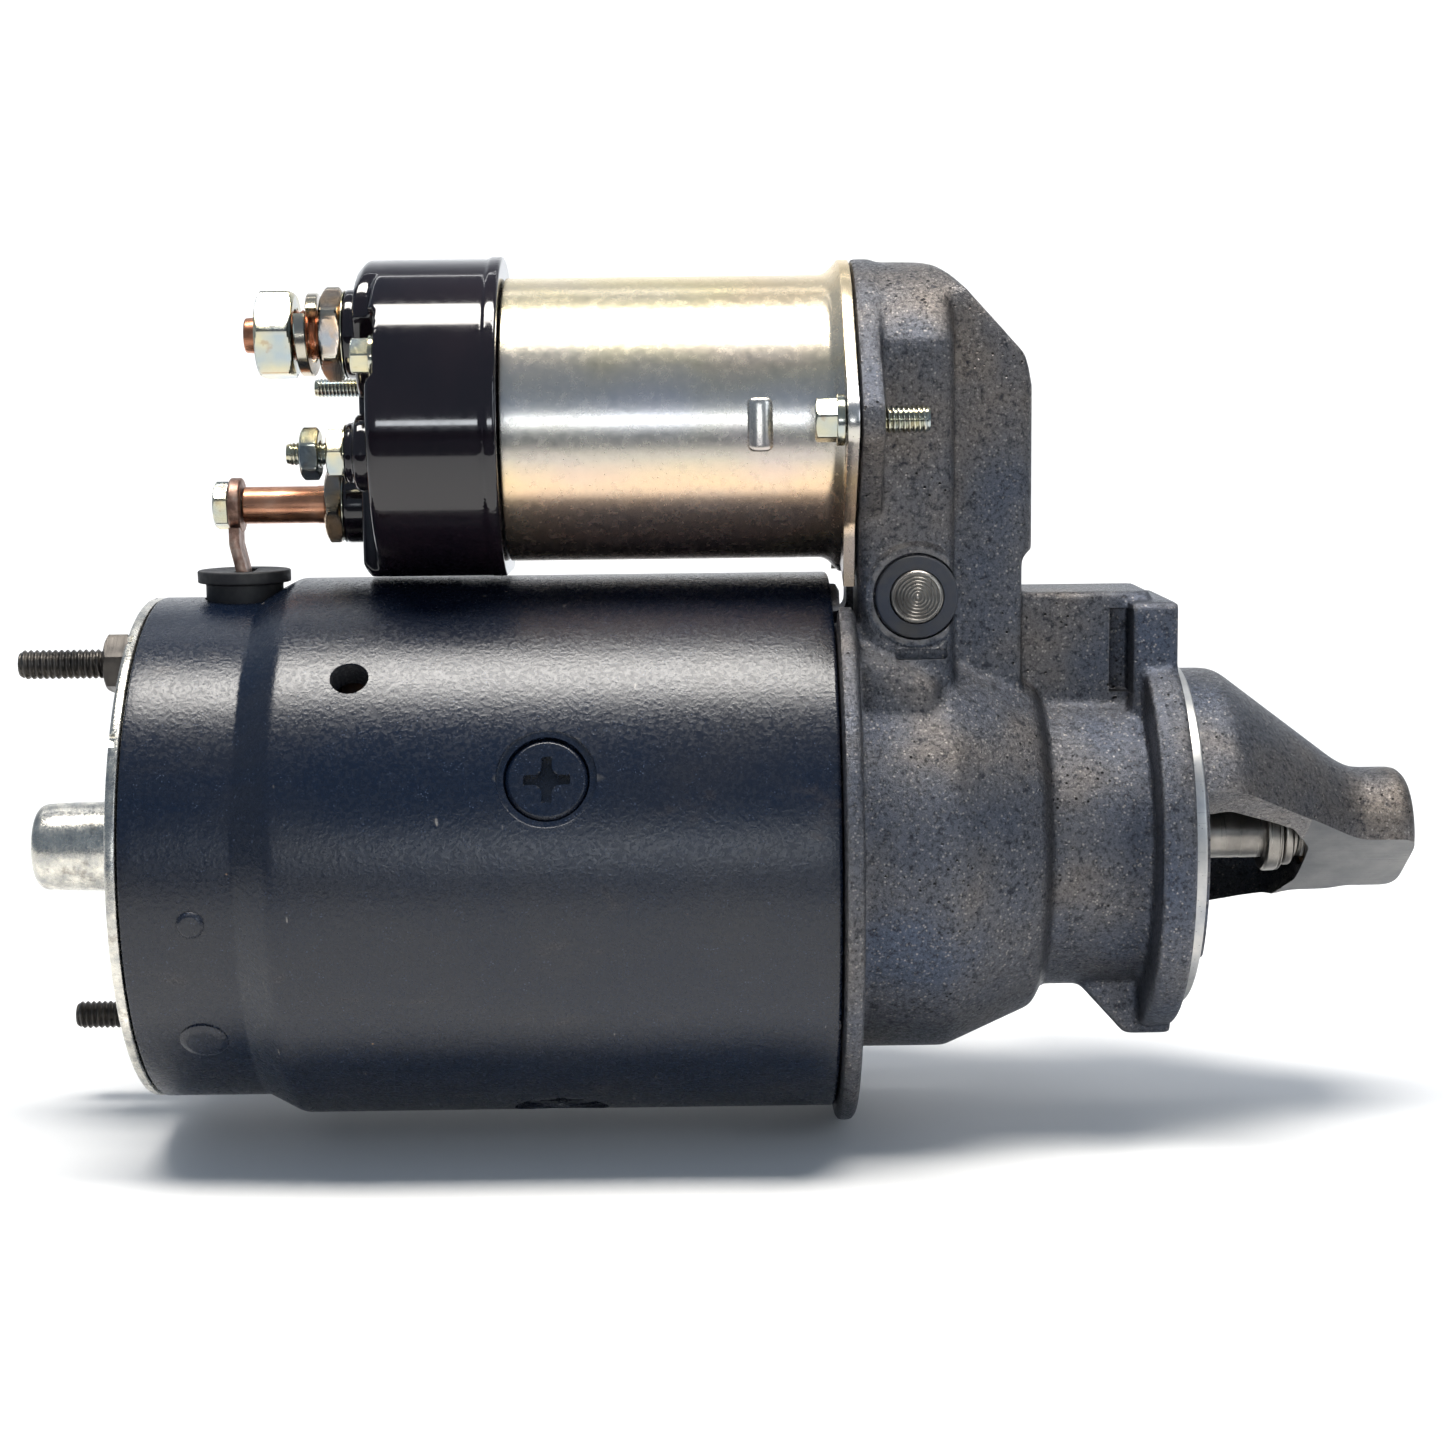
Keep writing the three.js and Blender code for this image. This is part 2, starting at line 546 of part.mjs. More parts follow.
// Shift lever, drawn upright about its pivot and leaned to its rest position
function shiftLever() {
  const upperArm = SOLENOID_Z - PIVOT_Z;
  const lowerArm = PIVOT_Z;
  const blade = alongY([[-6, -4], [6, -4], [4.6, upperArm], [-4.6, upperArm]], -3, 3);
  const head = pinAlongY(0, upperArm, 6, -3, 3, 20);
  const slot = box([-3.3, 3.3], [-5, 5], [upperArm - 4, upperArm + 4]);
  const hub = pinAlongY(0, 0, 9, -11, 11, 24);
  const yoke = alongY([[-5, -4], [5, -4], [4.2, -29], [-4.2, -29]], -11, 11)
    .add(box([-4.2, 4.2], [-22.4, 22.4], [-30.4, -25.6]));
  const arms = [-1, 1].map((side) => {
    const leg = box([-4.2, 4.2], [19.4, 22.4], [-lowerArm - 3.4, -26]);
    const button = pinAlongY(0, -lowerArm, 3.4, 14.9, 20, 16);
    return side > 0 ? leg.add(button) : leg.add(button).mirror([0, 1, 0]);
  });
  const bore = pinAlongY(0, 0, PIVOT_RADIUS + GAP, -20, 20, 20);
  return union(blade, head, hub, yoke, ...arms).subtract(slot.add(bore));
}
place(lever, 'shift_lever', shiftLever(), DARK_STEEL).rotation.y = THREE.MathUtils.degToRad(LEVER_REST);
place(lever, 'lever_pivot_pin', pinAlongY(0, 0, PIVOT_RADIUS, -28.6, 26.4, 24), STEEL);
place(lever, 'pivot_seal', tube(-28.2, -25.7, 8.5, PIVOT_RADIUS + GAP, 24).rotate([0, 0, 90]), RUBBER);

// Solenoid, about its own axis
function solenoidCase() {
  const barrel = tube(CASE_REAR, PAD_FACE - GAP, CASE_RADIUS, CASE_RADIUS - 1.8, 40);
  const rear = PAD_FACE - GAP - PLATE_THICK;
  const plate = alongX(eared(PLATE_RADIUS, 6.4, 25.5, -38), rear, PAD_FACE - GAP, 10);
  const holes = [-1, 1].map((side) => rod(-80, -60, 3.1, 16).translate([0, side * MOUNT_SCREW_Y, 0]));
  const motorRing = rod(-80, -60, RING_RADIUS + 0.6, 40).translate([0, 0, -SOLENOID_Z]);
  const motorTube = rod(-150, -60, FRAME_RADIUS + 0.5, 48).translate([0, 0, -SOLENOID_Z]);
  return plate.add(rod(rear - 1, PAD_FACE - GAP, CASE_RADIUS, 40))
    .subtract(motorRing)
    .add(barrel)
    .subtract(union(rod(-80, -60, 12.4, 24), motorTube, ...holes));
}

function capBody() {
  const shell = turned([
    [CAP_FACE, 0], [CAP_FACE, CAP_RADIUS - 1], [CAP_FACE + 1, CAP_RADIUS], [-142.4, CAP_RADIUS],
    [-142.4, CAP_RADIUS + 0.5], [CASE_REAR - GAP, CAP_RADIUS + 0.5], [CASE_REAR - GAP, 0]], 40);
  const sizes = [
    [BATTERY, 14.6, 9.6, BATTERY_FACE], [MOTOR, 13, 8.6, MOTOR_FACE],
    [RELAY, 8, 6.4, RELAY_FACE], [START, 8, 6.4, RELAY_FACE]];
  const towers = sizes.map(([[y, z], towerRadius, bossRadius, face]) => (
    rod(TERMINAL_FACE, CAP_FACE + 1, towerRadius, 24)
      .add(rod(face, TERMINAL_FACE + 1, bossRadius, 24))
      .translate([0, y, z])));
  const web = box([TERMINAL_FACE, CAP_FACE + 1], [-13.5, 13.5], [-40, 40]);
  const platform = union(web, ...towers).intersect(rod(-180, -150, CAP_RADIUS - 0.5, 40));
  const inside = turned([[-158, 0], [-158, 25.8], [-139, 25.8], [-139, 0]], 24)
    .add(rod(-162, -150, 22, 24));
  const flat = box([-180, -130], [-40, 40], [-40, -32]);
  return shell.add(platform).subtract(inside.add(flat));
}

function solenoidCap() {
  const bores = [[BATTERY, 5.6], [MOTOR, 4.3], [RELAY, 2.7], [START, 2.4]].map(([[y, z], radius]) => (
    rod(-180, -155, radius, 20).translate([0, y, z])));
  const screws = [-1, 1].map((side) => rod(-170, -140.6, 2.2, 12)
    .translate([0, side * CAP_SCREW[0], side * CAP_SCREW[1]]));
  const pockets = [-1, 1].map((side) => rod(-175, POCKET_FACE + 0.1, 8.2, 20)
    .translate([0, side * CAP_POCKET[0], side * CAP_POCKET[1]]));
  return capBody().subtract(union(...bores, ...screws, ...pockets));
}

place(solenoid, 'solenoid_case', solenoidCase(), GOLD_ZINC);
place(solenoid, 'solenoid_winding', tube(-132.6, -72, 27.5, 12.4, 24), COPPER);
place(solenoid, 'solenoid_core', turned([
  [-139.1, 3], [-139.1, 27.5], [-133, 27.5], [-133, 11.8], [-108, 11.8], [-108, 3]], 24), DARK_STEEL);
place(solenoid, 'solenoid_cap', solenoidCap(), PHENOLIC);

function capScrew() {
  const seat = POCKET_FACE - 0.2;
  return turned([[seat, 0], [seat, 4.4], [-165.3, 4.4], [-165.3, 0]], 16)
    .add(alongX(hexagon(7), -169.2, -165))
    .add(rod(seat - 0.2, -141.4, 1.9, 12));
}

function mountScrew() {
  const washer = PAD_FACE - GAP - PLATE_THICK - GAP;
  return union(
    alongX(hexagon(8), -76.4, -72), rod(-72.2, washer, 5.2, 20), rod(washer - 0.2, MOUNT_SCREW_TIP, 2.8, 16));
}

['front', 'rear'].forEach((label, i) => {
  const side = i === 0 ? 1 : -1;
  place(solenoid, `cap_screw_${label}`, capScrew(), BRIGHT_ZINC)
    .position.set(0, side * CAP_SCREW[0], side * CAP_SCREW[1]);
  place(solenoid, `solenoid_screw_${label}`, mountScrew(), BRIGHT_ZINC)
    .position.set(0, -side * MOUNT_SCREW_Y, 0);
});

// Terminals
function atTerminal(mesh, [y, z]) {
  mesh.position.set(0, y, z);
}

function headedStud(tip, tipRadius, radius) {
  const shoulder = tip + 2;
  return turned([
    [tip, 0], [tip, tipRadius], [shoulder, tipRadius], [shoulder + 0.6, radius], [CONTACT_X - 2.4, radius],
    [CONTACT_X - 2.4, radius + 0.8], [CONTACT_X, radius + 0.8], [CONTACT_X, 0]], 20);
}

function lockWasher() {
  return tube(-182.5, -177.7, 8.6, 5.8, 24).subtract(box([-190, -170], [-1, 1], [4, 12]));
}

atTerminal(place(solenoid, 'battery_stud', headedStud(-193.5, 3.7, 5.2), COPPER), BATTERY);
atTerminal(place(solenoid, 'battery_nut', nut(-190.6, -182.8, 17.1, 5.5), BRIGHT_ZINC), BATTERY);
atTerminal(place(solenoid, 'battery_lock_washer', lockWasher(), BRIGHT_ZINC), BATTERY);
const jamNut = nut(-177.4, BATTERY_FACE - GAP, 17.1, 5.5);
atTerminal(place(solenoid, 'battery_jam_nut', jamNut, BRIGHT_ZINC), BATTERY);

function motorStud() {
  const head = CONTACT_X - 2.4;
  const sleeve = tube(-196.9, -170, 4, 2.6, 24);
  const stud = turned([[-180, 0], [-180, 4], [head, 4], [head, 6.8], [CONTACT_X, 6.8], [CONTACT_X, 0]], 24);
  return sleeve.add(stud);
}
atTerminal(place(solenoid, 'motor_stud', motorStud(), COPPER), MOTOR);
atTerminal(place(solenoid, 'motor_terminal_nut', nut(-179, MOTOR_FACE - GAP, 15, 4.3), BRIGHT_ZINC), MOTOR);
const motorScrew = alongX(hexagon(9.2), -203.1, -200.1).add(rod(-200.2, -181, 2.2, 16));
atTerminal(place(solenoid, 'motor_terminal_screw', motorScrew, BRIGHT_ZINC), MOTOR);
const relayStud = turned([
  [-183.7, 0], [-183.7, 1.7], [-182, 2.1], [-182, 2.4], [-160, 2.4], [-160, 0]], 16);
atTerminal(place(solenoid, 'relay_stud', relayStud, BRIGHT_ZINC), RELAY);
atTerminal(place(solenoid, 'relay_outer_nut', nut(-180.7, -176.9, 9.5, 2.7), BRIGHT_ZINC), RELAY);
atTerminal(place(solenoid, 'relay_inner_nut', nut(-175.3, RELAY_FACE - GAP, 9.5, 2.7), BRIGHT_ZINC), RELAY);
const startStud = turned([[-183.1, 0], [-183.1, 1.7], [-182.4, 2.1], [-160, 2.1], [-160, 0]], 16);
atTerminal(place(solenoid, 'start_stud', startStud, BRIGHT_ZINC), START);

// Plunger with its pressed-in link pin, its return spring, and the contact disc on its rod
const LINK_X = PIVOT_X + (SOLENOID_Z - PIVOT_Z) * Math.sin(THREE.MathUtils.degToRad(LEVER_REST));
function plunger() {
  const body = turned([
    [-95.5, 0], [-95.5, 11], [-94.5, 11.8], [-66, 11.8], [-65, 10.8], [-65, 0]], 24);
  const springWell = rod(-97, -77.5, 8.4, 16);
  const clevis = union(
    box([-66, LINK_X], [-7.5, 7.5], [-6, 6]), pinAlongY(LINK_X, 0, 6, -7.5, 7.5, 20));
  const leverSlot = box([LINK_X - 9, LINK_X + 9], [-3.6, 3.6], [-10, 10]);
  const linkPin = pinAlongY(LINK_X, 0, 2.8, -8.4, 8.4, 16);
  return union(body.subtract(springWell), clevis.subtract(leverSlot), linkPin);
}
place(solenoid, 'plunger', plunger(), STEEL);
place(solenoid, 'plunger_return_spring', spring(-107.6, -77.8, 7, 0.7, 7), STEEL);
const contact = rod(-152.3, -150.3, 21, 24).add(rod(-153.6, -86.8, 2.5, 16));
place(solenoid, 'contact_disc', contact, COPPER);

export default starter;
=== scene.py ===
"""The looks of a starter motor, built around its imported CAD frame.

Lengths are in millimetres in the frame's axes and become metres when a mesh is made:
the shaft lies along X with the nose towards +X, and the solenoid sits above it on +Z.
"""
import json
import math

import bmesh
import bpy
from mathutils import Matrix, Vector


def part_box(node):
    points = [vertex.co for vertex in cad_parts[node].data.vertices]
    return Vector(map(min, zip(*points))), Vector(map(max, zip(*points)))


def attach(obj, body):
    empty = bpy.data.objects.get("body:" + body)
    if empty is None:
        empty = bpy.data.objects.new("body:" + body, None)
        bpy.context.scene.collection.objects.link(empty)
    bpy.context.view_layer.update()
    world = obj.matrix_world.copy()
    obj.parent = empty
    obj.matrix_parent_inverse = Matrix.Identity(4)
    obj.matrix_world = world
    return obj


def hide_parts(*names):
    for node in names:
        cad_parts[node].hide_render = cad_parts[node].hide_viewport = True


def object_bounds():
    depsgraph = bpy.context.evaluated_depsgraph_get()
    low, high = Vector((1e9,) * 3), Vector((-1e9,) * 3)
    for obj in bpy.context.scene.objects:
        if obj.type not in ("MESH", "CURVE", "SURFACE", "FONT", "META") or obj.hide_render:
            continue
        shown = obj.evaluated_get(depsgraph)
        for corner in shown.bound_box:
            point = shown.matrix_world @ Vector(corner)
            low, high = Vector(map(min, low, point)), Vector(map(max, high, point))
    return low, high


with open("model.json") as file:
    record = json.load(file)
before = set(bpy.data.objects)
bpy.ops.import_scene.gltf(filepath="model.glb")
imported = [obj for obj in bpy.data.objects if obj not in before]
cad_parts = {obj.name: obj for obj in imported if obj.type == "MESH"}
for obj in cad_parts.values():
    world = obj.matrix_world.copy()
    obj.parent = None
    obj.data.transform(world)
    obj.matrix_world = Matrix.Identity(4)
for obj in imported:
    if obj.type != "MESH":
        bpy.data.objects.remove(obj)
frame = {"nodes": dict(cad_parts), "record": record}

CAD_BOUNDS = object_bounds()
MM = 0.001


# ---------------------------------------------------------------- places from the frame

class Span:
    """A node's box in millimetres."""

    def __init__(self, node):
        lo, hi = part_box(node)
        self.lo = [c / MM for c in lo]
        self.hi = [c / MM for c in hi]
        self.mid = [(a + b) / 2 for a, b in zip(self.lo, self.hi)]
        self.size = [b - a for a, b in zip(self.lo, self.hi)]

    @property
    def radius(self):
        return self.size[1] / 2


HOUSING = Span("drive_housing")
FRAME = Span("field_frame")
PLATE = Span("commutator_end_frame")
CASE = Span("solenoid_case")
CAP = Span("solenoid_cap")
PIVOT = Span("lever_pivot_pin")
SEAL = Span("pivot_seal")
SOLENOID_Z = Span("solenoid_core").mid[2]
PAD_X = CASE.hi[0] + 0.3


# ---------------------------------------------------------------- meshes

def placed(name, bm):
    mesh = bpy.data.meshes.new(name)
    bm.to_mesh(mesh)
    bm.free()
    obj = bpy.data.objects.new(name, mesh)
    bpy.context.scene.collection.objects.link(obj)
    return obj


def finish_mesh(name, bm, angle=32):
    bmesh.ops.recalc_face_normals(bm, faces=bm.faces)
    bmesh.ops.scale(bm, vec=(MM, MM, MM), verts=bm.verts)
    obj = placed(name, bm)
    shade(obj, angle)
    return obj


def shade(obj, angle=32):
    mesh = obj.data
    mesh.polygons.foreach_set("use_smooth", [True] * len(mesh.polygons))
    mesh.set_sharp_from_angle(angle=math.radians(angle))


def rounded(corners, closed, steps=5):
    """Replaces each corner (u, v, radius) by an arc; a corner without a radius stays sharp."""
    points = []
    count = len(corners)
    for i, corner in enumerate(corners):
        here = Vector(corner[:2])
        radius = corner[2] if len(corner) > 2 else 0
        if radius == 0 or (not closed and i in (0, count - 1)):
            points.append(here)
            continue
        before = Vector(corners[i - 1][:2]) - here
        after = Vector(corners[(i + 1) % count][:2]) - here
        half = before.angle(after) / 2
        reach = min(radius / math.tan(half), before.length * 0.49, after.length * 0.49)
        start = here + before.normalized() * reach
        end = here + after.normalized() * reach
        centre = here + (before.normalized() + after.normalized()).normalized() * (
            reach * math.tan(half) / math.sin(half))
        spoke, last = start - centre, end - centre
        sweep = spoke.angle_signed(last)
        for k in range(steps + 1):
            turn = Matrix.Rotation(-sweep * k / steps, 2)
            points.append(centre + turn @ spoke)
    return points


def spaced(points, step, closed):
    """Adds points so that no span is longer than step."""
    made = []
    ends = points[1:] + (points[:1] if closed else [])
    for here, there in zip(points, ends):
        count = max(1, int((there - here).length / step))
        made += [here.lerp(there, k / count) for k in range(count)]
    return made if closed else made + points[-1:]


def lathe_bm(corners, segments=128, closed=False, step=0):
    """Turns (x, radius, rounding) corners about the X axis into a closed skin."""
    points = rounded(corners, closed)
    if step:
        points = spaced(points, step, closed)
    bm = bmesh.new()
    rings = []
    for x, radius in points:
        if radius < 1e-6:
            rings.append([bm.verts.new((x, 0, 0))])
            continue
        ring = []
        for k in range(segments):
            a = 2 * math.pi * k / segments
            ring.append(bm.verts.new((x, radius * math.cos(a), radius * math.sin(a))))
        rings.append(ring)
    pairs = list(zip(rings, rings[1:]))
    if closed:
        pairs.append((rings[-1], rings[0]))
    for one, two in pairs:
        for k in range(segments):
            n = (k + 1) % segments
            loop = [one[k % len(one)], one[n % len(one)], two[n % len(two)], two[k % len(two)]]
            corners_left = list(dict.fromkeys(loop))
            if len(corners_left) > 2:
                bm.faces.new(corners_left)
    return bm


def lathe(name, corners, segments=128, closed=False, angle=32, step=0):
    return finish_mesh(name, lathe_bm(corners, segments, closed, step), angle)


def rod(name, x0, x1, radius, segments=128, low=0.0, high=0.0):
    """A cylinder along X, whose rims are rounded by low and high."""
    return lathe(name, [(x0, 0), (x0, radius, low), (x1, radius, high), (x1, 0)], segments)


def hoop(name, x0, x1, inner, outer, segments, low=0.0, high=0.0):
    """A ring about X, whose outer rims are rounded by low and high."""
    corners = [(x0, inner), (x0, outer, low), (x1, outer, high), (x1, inner)]
    return lathe(name, corners, segments, closed=True)


def skin(bm, rings, ends=True):
    """Joins rings of vertices into a tube, closed at its ends or not at all."""
    for one, two in zip(rings, rings[1:]):
        for k in range(len(one)):
            n = (k + 1) % len(one)
            bm.faces.new((one[k], one[n], two[n], two[k]))
    if ends:
        bm.faces.new(rings[0])
        bm.faces.new(rings[-1])


AXES = {"x": (1, 2, 0), "y": (0, 2, 1), "z": (0, 1, 2)}


def slab(name, corners, lo, hi, axis="x", bevel=0.0, segments=2, steps=6, angle=32):
    """Extrudes a rounded outline along an axis, with bevelled rims."""
    u, v, w = AXES[axis]
    bm = bmesh.new()
    ring = []
    for p in rounded(corners, True, steps):
        co = [0, 0, 0]
        co[u], co[v], co[w] = p[0], p[1], lo
        ring.append(bm.verts.new(co))
    bottom = bm.faces.new(ring)
    top = bmesh.ops.extrude_face_region(bm, geom=[bottom])
    raised = [g for g in top["geom"] if isinstance(g, bmesh.types.BMVert)]
    shift = [0, 0, 0]
    shift[w] = hi - lo
    bmesh.ops.translate(bm, vec=shift, verts=raised)
    bmesh.ops.recalc_face_normals(bm, faces=bm.faces)
    if bevel:
        rims = [e for e in bm.edges if len({round(x.co[w], 5) for x in e.verts}) == 1]
        bmesh.ops.bevel(bm, geom=rims, offset=bevel, segments=segments, profile=0.5, affect="EDGES")
    return finish_mesh(name, bm, angle)


def block(name, xs, ys, zs, bevel=0.0, segments=2):
    corners = [(xs[0], zs[0]), (xs[1], zs[0]), (xs[1], zs[1]), (xs[0], zs[1])]
    return slab(name, corners, ys[0], ys[1], "y", bevel, segments)


def circle(centre_u, centre_v, radius, count=48):
    return [(centre_u + radius * math.cos(2 * math.pi * k / count),
             centre_v + radius * math.sin(2 * math.pi * k / count)) for k in range(count)]


def turn_to(obj, matrix):
    obj.data.transform(matrix)
    obj.data.update()
    return obj


def moved(obj, x=0.0, y=0.0, z=0.0):
    return turn_to(obj, Matrix.Translation((x * MM, y * MM, z * MM)))


def on_axis(obj, span, height=0.0):
    """Moves a piece made along X onto the axis of a node's box, with z counted from a height."""
    return moved(obj, y=span.mid[1], z=span.mid[2] - height)


def around_x(obj, degrees):
    """Turns a piece about X, where 0 degrees is -Y and 90 degrees is +Z."""
    return turn_to(obj, Matrix.Rotation(math.radians(-degrees), 4, "X"))


def x_to_y(obj):
    return turn_to(obj, Matrix.Rotation(math.radians(90), 4, "Z"))


def x_to_z(obj):
    return turn_to(obj, Matrix.Rotation(math.radians(-90), 4, "Y"))


def drop(obj):
    mesh = obj.data
    bpy.data.objects.remove(obj)
    bpy.data.meshes.remove(mesh)


def apply_modifiers(obj):
    graph = bpy.context.evaluated_depsgraph_get()
    mesh = bpy.data.meshes.new_from_object(obj.evaluated_get(graph))
    old = obj.data
    obj.modifiers.clear()
    obj.data = mesh
    bpy.data.meshes.remove(old)
    mesh.name = obj.name
    return obj


def boolean(obj, others, operation="DIFFERENCE", angle=32):
    for other in others:
        step = obj.modifiers.new("boolean", "BOOLEAN")
        step.operation = operation
        step.solver = "MANIFOLD"
        step.object = other
    apply_modifiers(obj)
    for other in others:
        drop(other)
    shade(obj, angle)
    return obj


def cast(obj, voxel, rounds):
    """Fuses overlapping solids into one skin and rounds its corners, as a casting's are."""
    remesh = obj.modifiers.new("fuse", "REMESH")
    remesh.mode = "VOXEL"
    remesh.voxel_size = voxel * 1 * MM
    smooth = obj.modifiers.new("round", "SMOOTH")
    smooth.iterations = rounds
    smooth.factor = 0.5
    return apply_modifiers(obj)


def joined(name, parts):
    """Puts several meshes into one object without fusing them."""
    bm = bmesh.new()
    for part in parts:
        bm.from_mesh(part.data)
        drop(part)
    obj = placed(name, bm)
    shade(obj)
    return obj


def show(obj, look, body, *nodes, slot=None):
    """Gives a piece its look, its body and the CAD nodes that it stands for.

    The slot argument is not used.
    """
    obj.data.materials.clear()
    obj.data.materials.append(LOOK[look])
    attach(obj, body)
    if nodes:
        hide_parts(*nodes)
    return obj


def show_at(obj, span, look, *nodes, slot=None):
    """Shows a piece of the housing on the axis of a node's box."""
    return show(on_axis(obj, span), look, "housing", *nodes, slot=slot)


def paint_where(obj, look, test):
    """Gives the faces that pass the test a second look; the test reads millimetres."""
    obj.data.materials.append(LOOK[look])
    index = len(obj.data.materials) - 1
    for face in obj.data.polygons:
        if test(face.center / MM, face.normal):
            face.material_index = index


# ---------------------------------------------------------------- threads and nuts

def thread_bm(x0, x1, radius, pitch, depth, tip_low=0.8, tip_high=0.0, segments=32):
    """A threaded rod along X, with its ends tapered over tip_low and tip_high."""
    bm = bmesh.new()
    steps = max(8, int((x1 - x0) / pitch * 8))
    rings = []
    for i in range(steps + 1):
        x = x0 + (x1 - x0) * i / steps
        ring = []
        for k in range(segments):
            a = 2 * math.pi * k / segments
            phase = ((x - x0) / pitch - k / segments) % 1.0
            crest = 1 - abs(2 * phase - 1)
            r = radius - depth * (1 - min(1, max(0, crest * 1.25 - 0.1)))
            if tip_low and x - x0 < tip_low:
                r = min(r, radius - depth * 1.3 * (1 - (x - x0) / tip_low))
            if tip_high and x1 - x < tip_high:
                r = min(r, radius - depth * 1.3 * (1 - (x1 - x) / tip_high))
            ring.append(bm.verts.new((x, r * math.cos(a), r * math.sin(a))))
        rings.append(ring)
    skin(bm, rings)
    return bm


def thread(name, *args, **kwargs):
    return finish_mesh(name, thread_bm(*args, **kwargs), 50)


def nut(name, x0, x1, across_flats, bore, turn=0.0, chamfer_high=True):
    """A hexagon nut along X: its corners are cut by a cone, which leaves the curved chamfers."""
    flat = across_flats / 2
    segments = 96
    length = x1 - x0
    rows = [0, 0.06, 0.12, 0.2, 0.32, 0.5, 0.75, 1.1]
    rows = [r * across_flats / 17 for r in rows if r * across_flats / 17 < length / 2 - 0.1]
    xs = [x0 + r for r in rows] + [x1 - r for r in reversed(rows)]
    bm = bmesh.new()

    def hexagon(a):
        return flat / math.cos((a - turn + math.pi / 6) % (math.pi / 3) - math.pi / 6)

    def ring(x, radius_at):
        made = []
        for k in range(segments):
            a = 2 * math.pi * k / segments
            r = radius_at(a)
            made.append(bm.verts.new((x, r * math.cos(a), r * math.sin(a))))
        return made

    lead_in = bore * 0.06
    rings = [ring(x0 + lead_in, lambda a: bore), ring(x0, lambda a: bore * 1.09)]
    for x in xs:
        near = min(x - x0, x1 - x) if chamfer_high else x - x0
        limit = flat * 0.95 + 1.75 * near
        rings.append(ring(x, lambda a, limit=limit: min(hexagon(a), limit)))
    rings += [ring(x1, lambda a: bore * 1.09), ring(x1 - lead_in, lambda a: bore)]
    skin(bm, rings + rings[:1], ends=False)
    return finish_mesh(name, bm, 24)


def hex_head(name, x0, x1, across_flats, turn=0.0):
    head = nut(name, x0, x1, across_flats, 0.6, turn, chamfer_high=False)
    plug = slab("plug", circle(0, 0, 0.9, 16), x0 + 0.05, x1 - 0.05, "x")
    return boolean(head, [plug], "UNION", 24)


def split_washer(name, x0, x1, outer, inner, thickness, gap_angle, start=0.0):
    """A spring lock washer: one open turn of a square bar that climbs from x0 to x1."""
    bm = bmesh.new()
    steps = 72
    rings = []
    sweep = 2 * math.pi - gap_angle
    for i in range(steps + 1):
        a = start + sweep * i / steps
        x = x0 + (x1 - x0 - thickness) * i / steps
        c = 0.25
        shape = [(inner, x + c), (inner + c, x), (outer - c, x), (outer, x + c),
                 (outer, x + thickness - c), (outer - c, x + thickness),
                 (inner + c, x + thickness), (inner, x + thickness - c)]
        rings.append([bm.verts.new((px, r * math.cos(a), r * math.sin(a))) for r, px in shape])
    skin(bm, rings)
    return finish_mesh(name, bm, 30)


# ---------------------------------------------------------------- materials

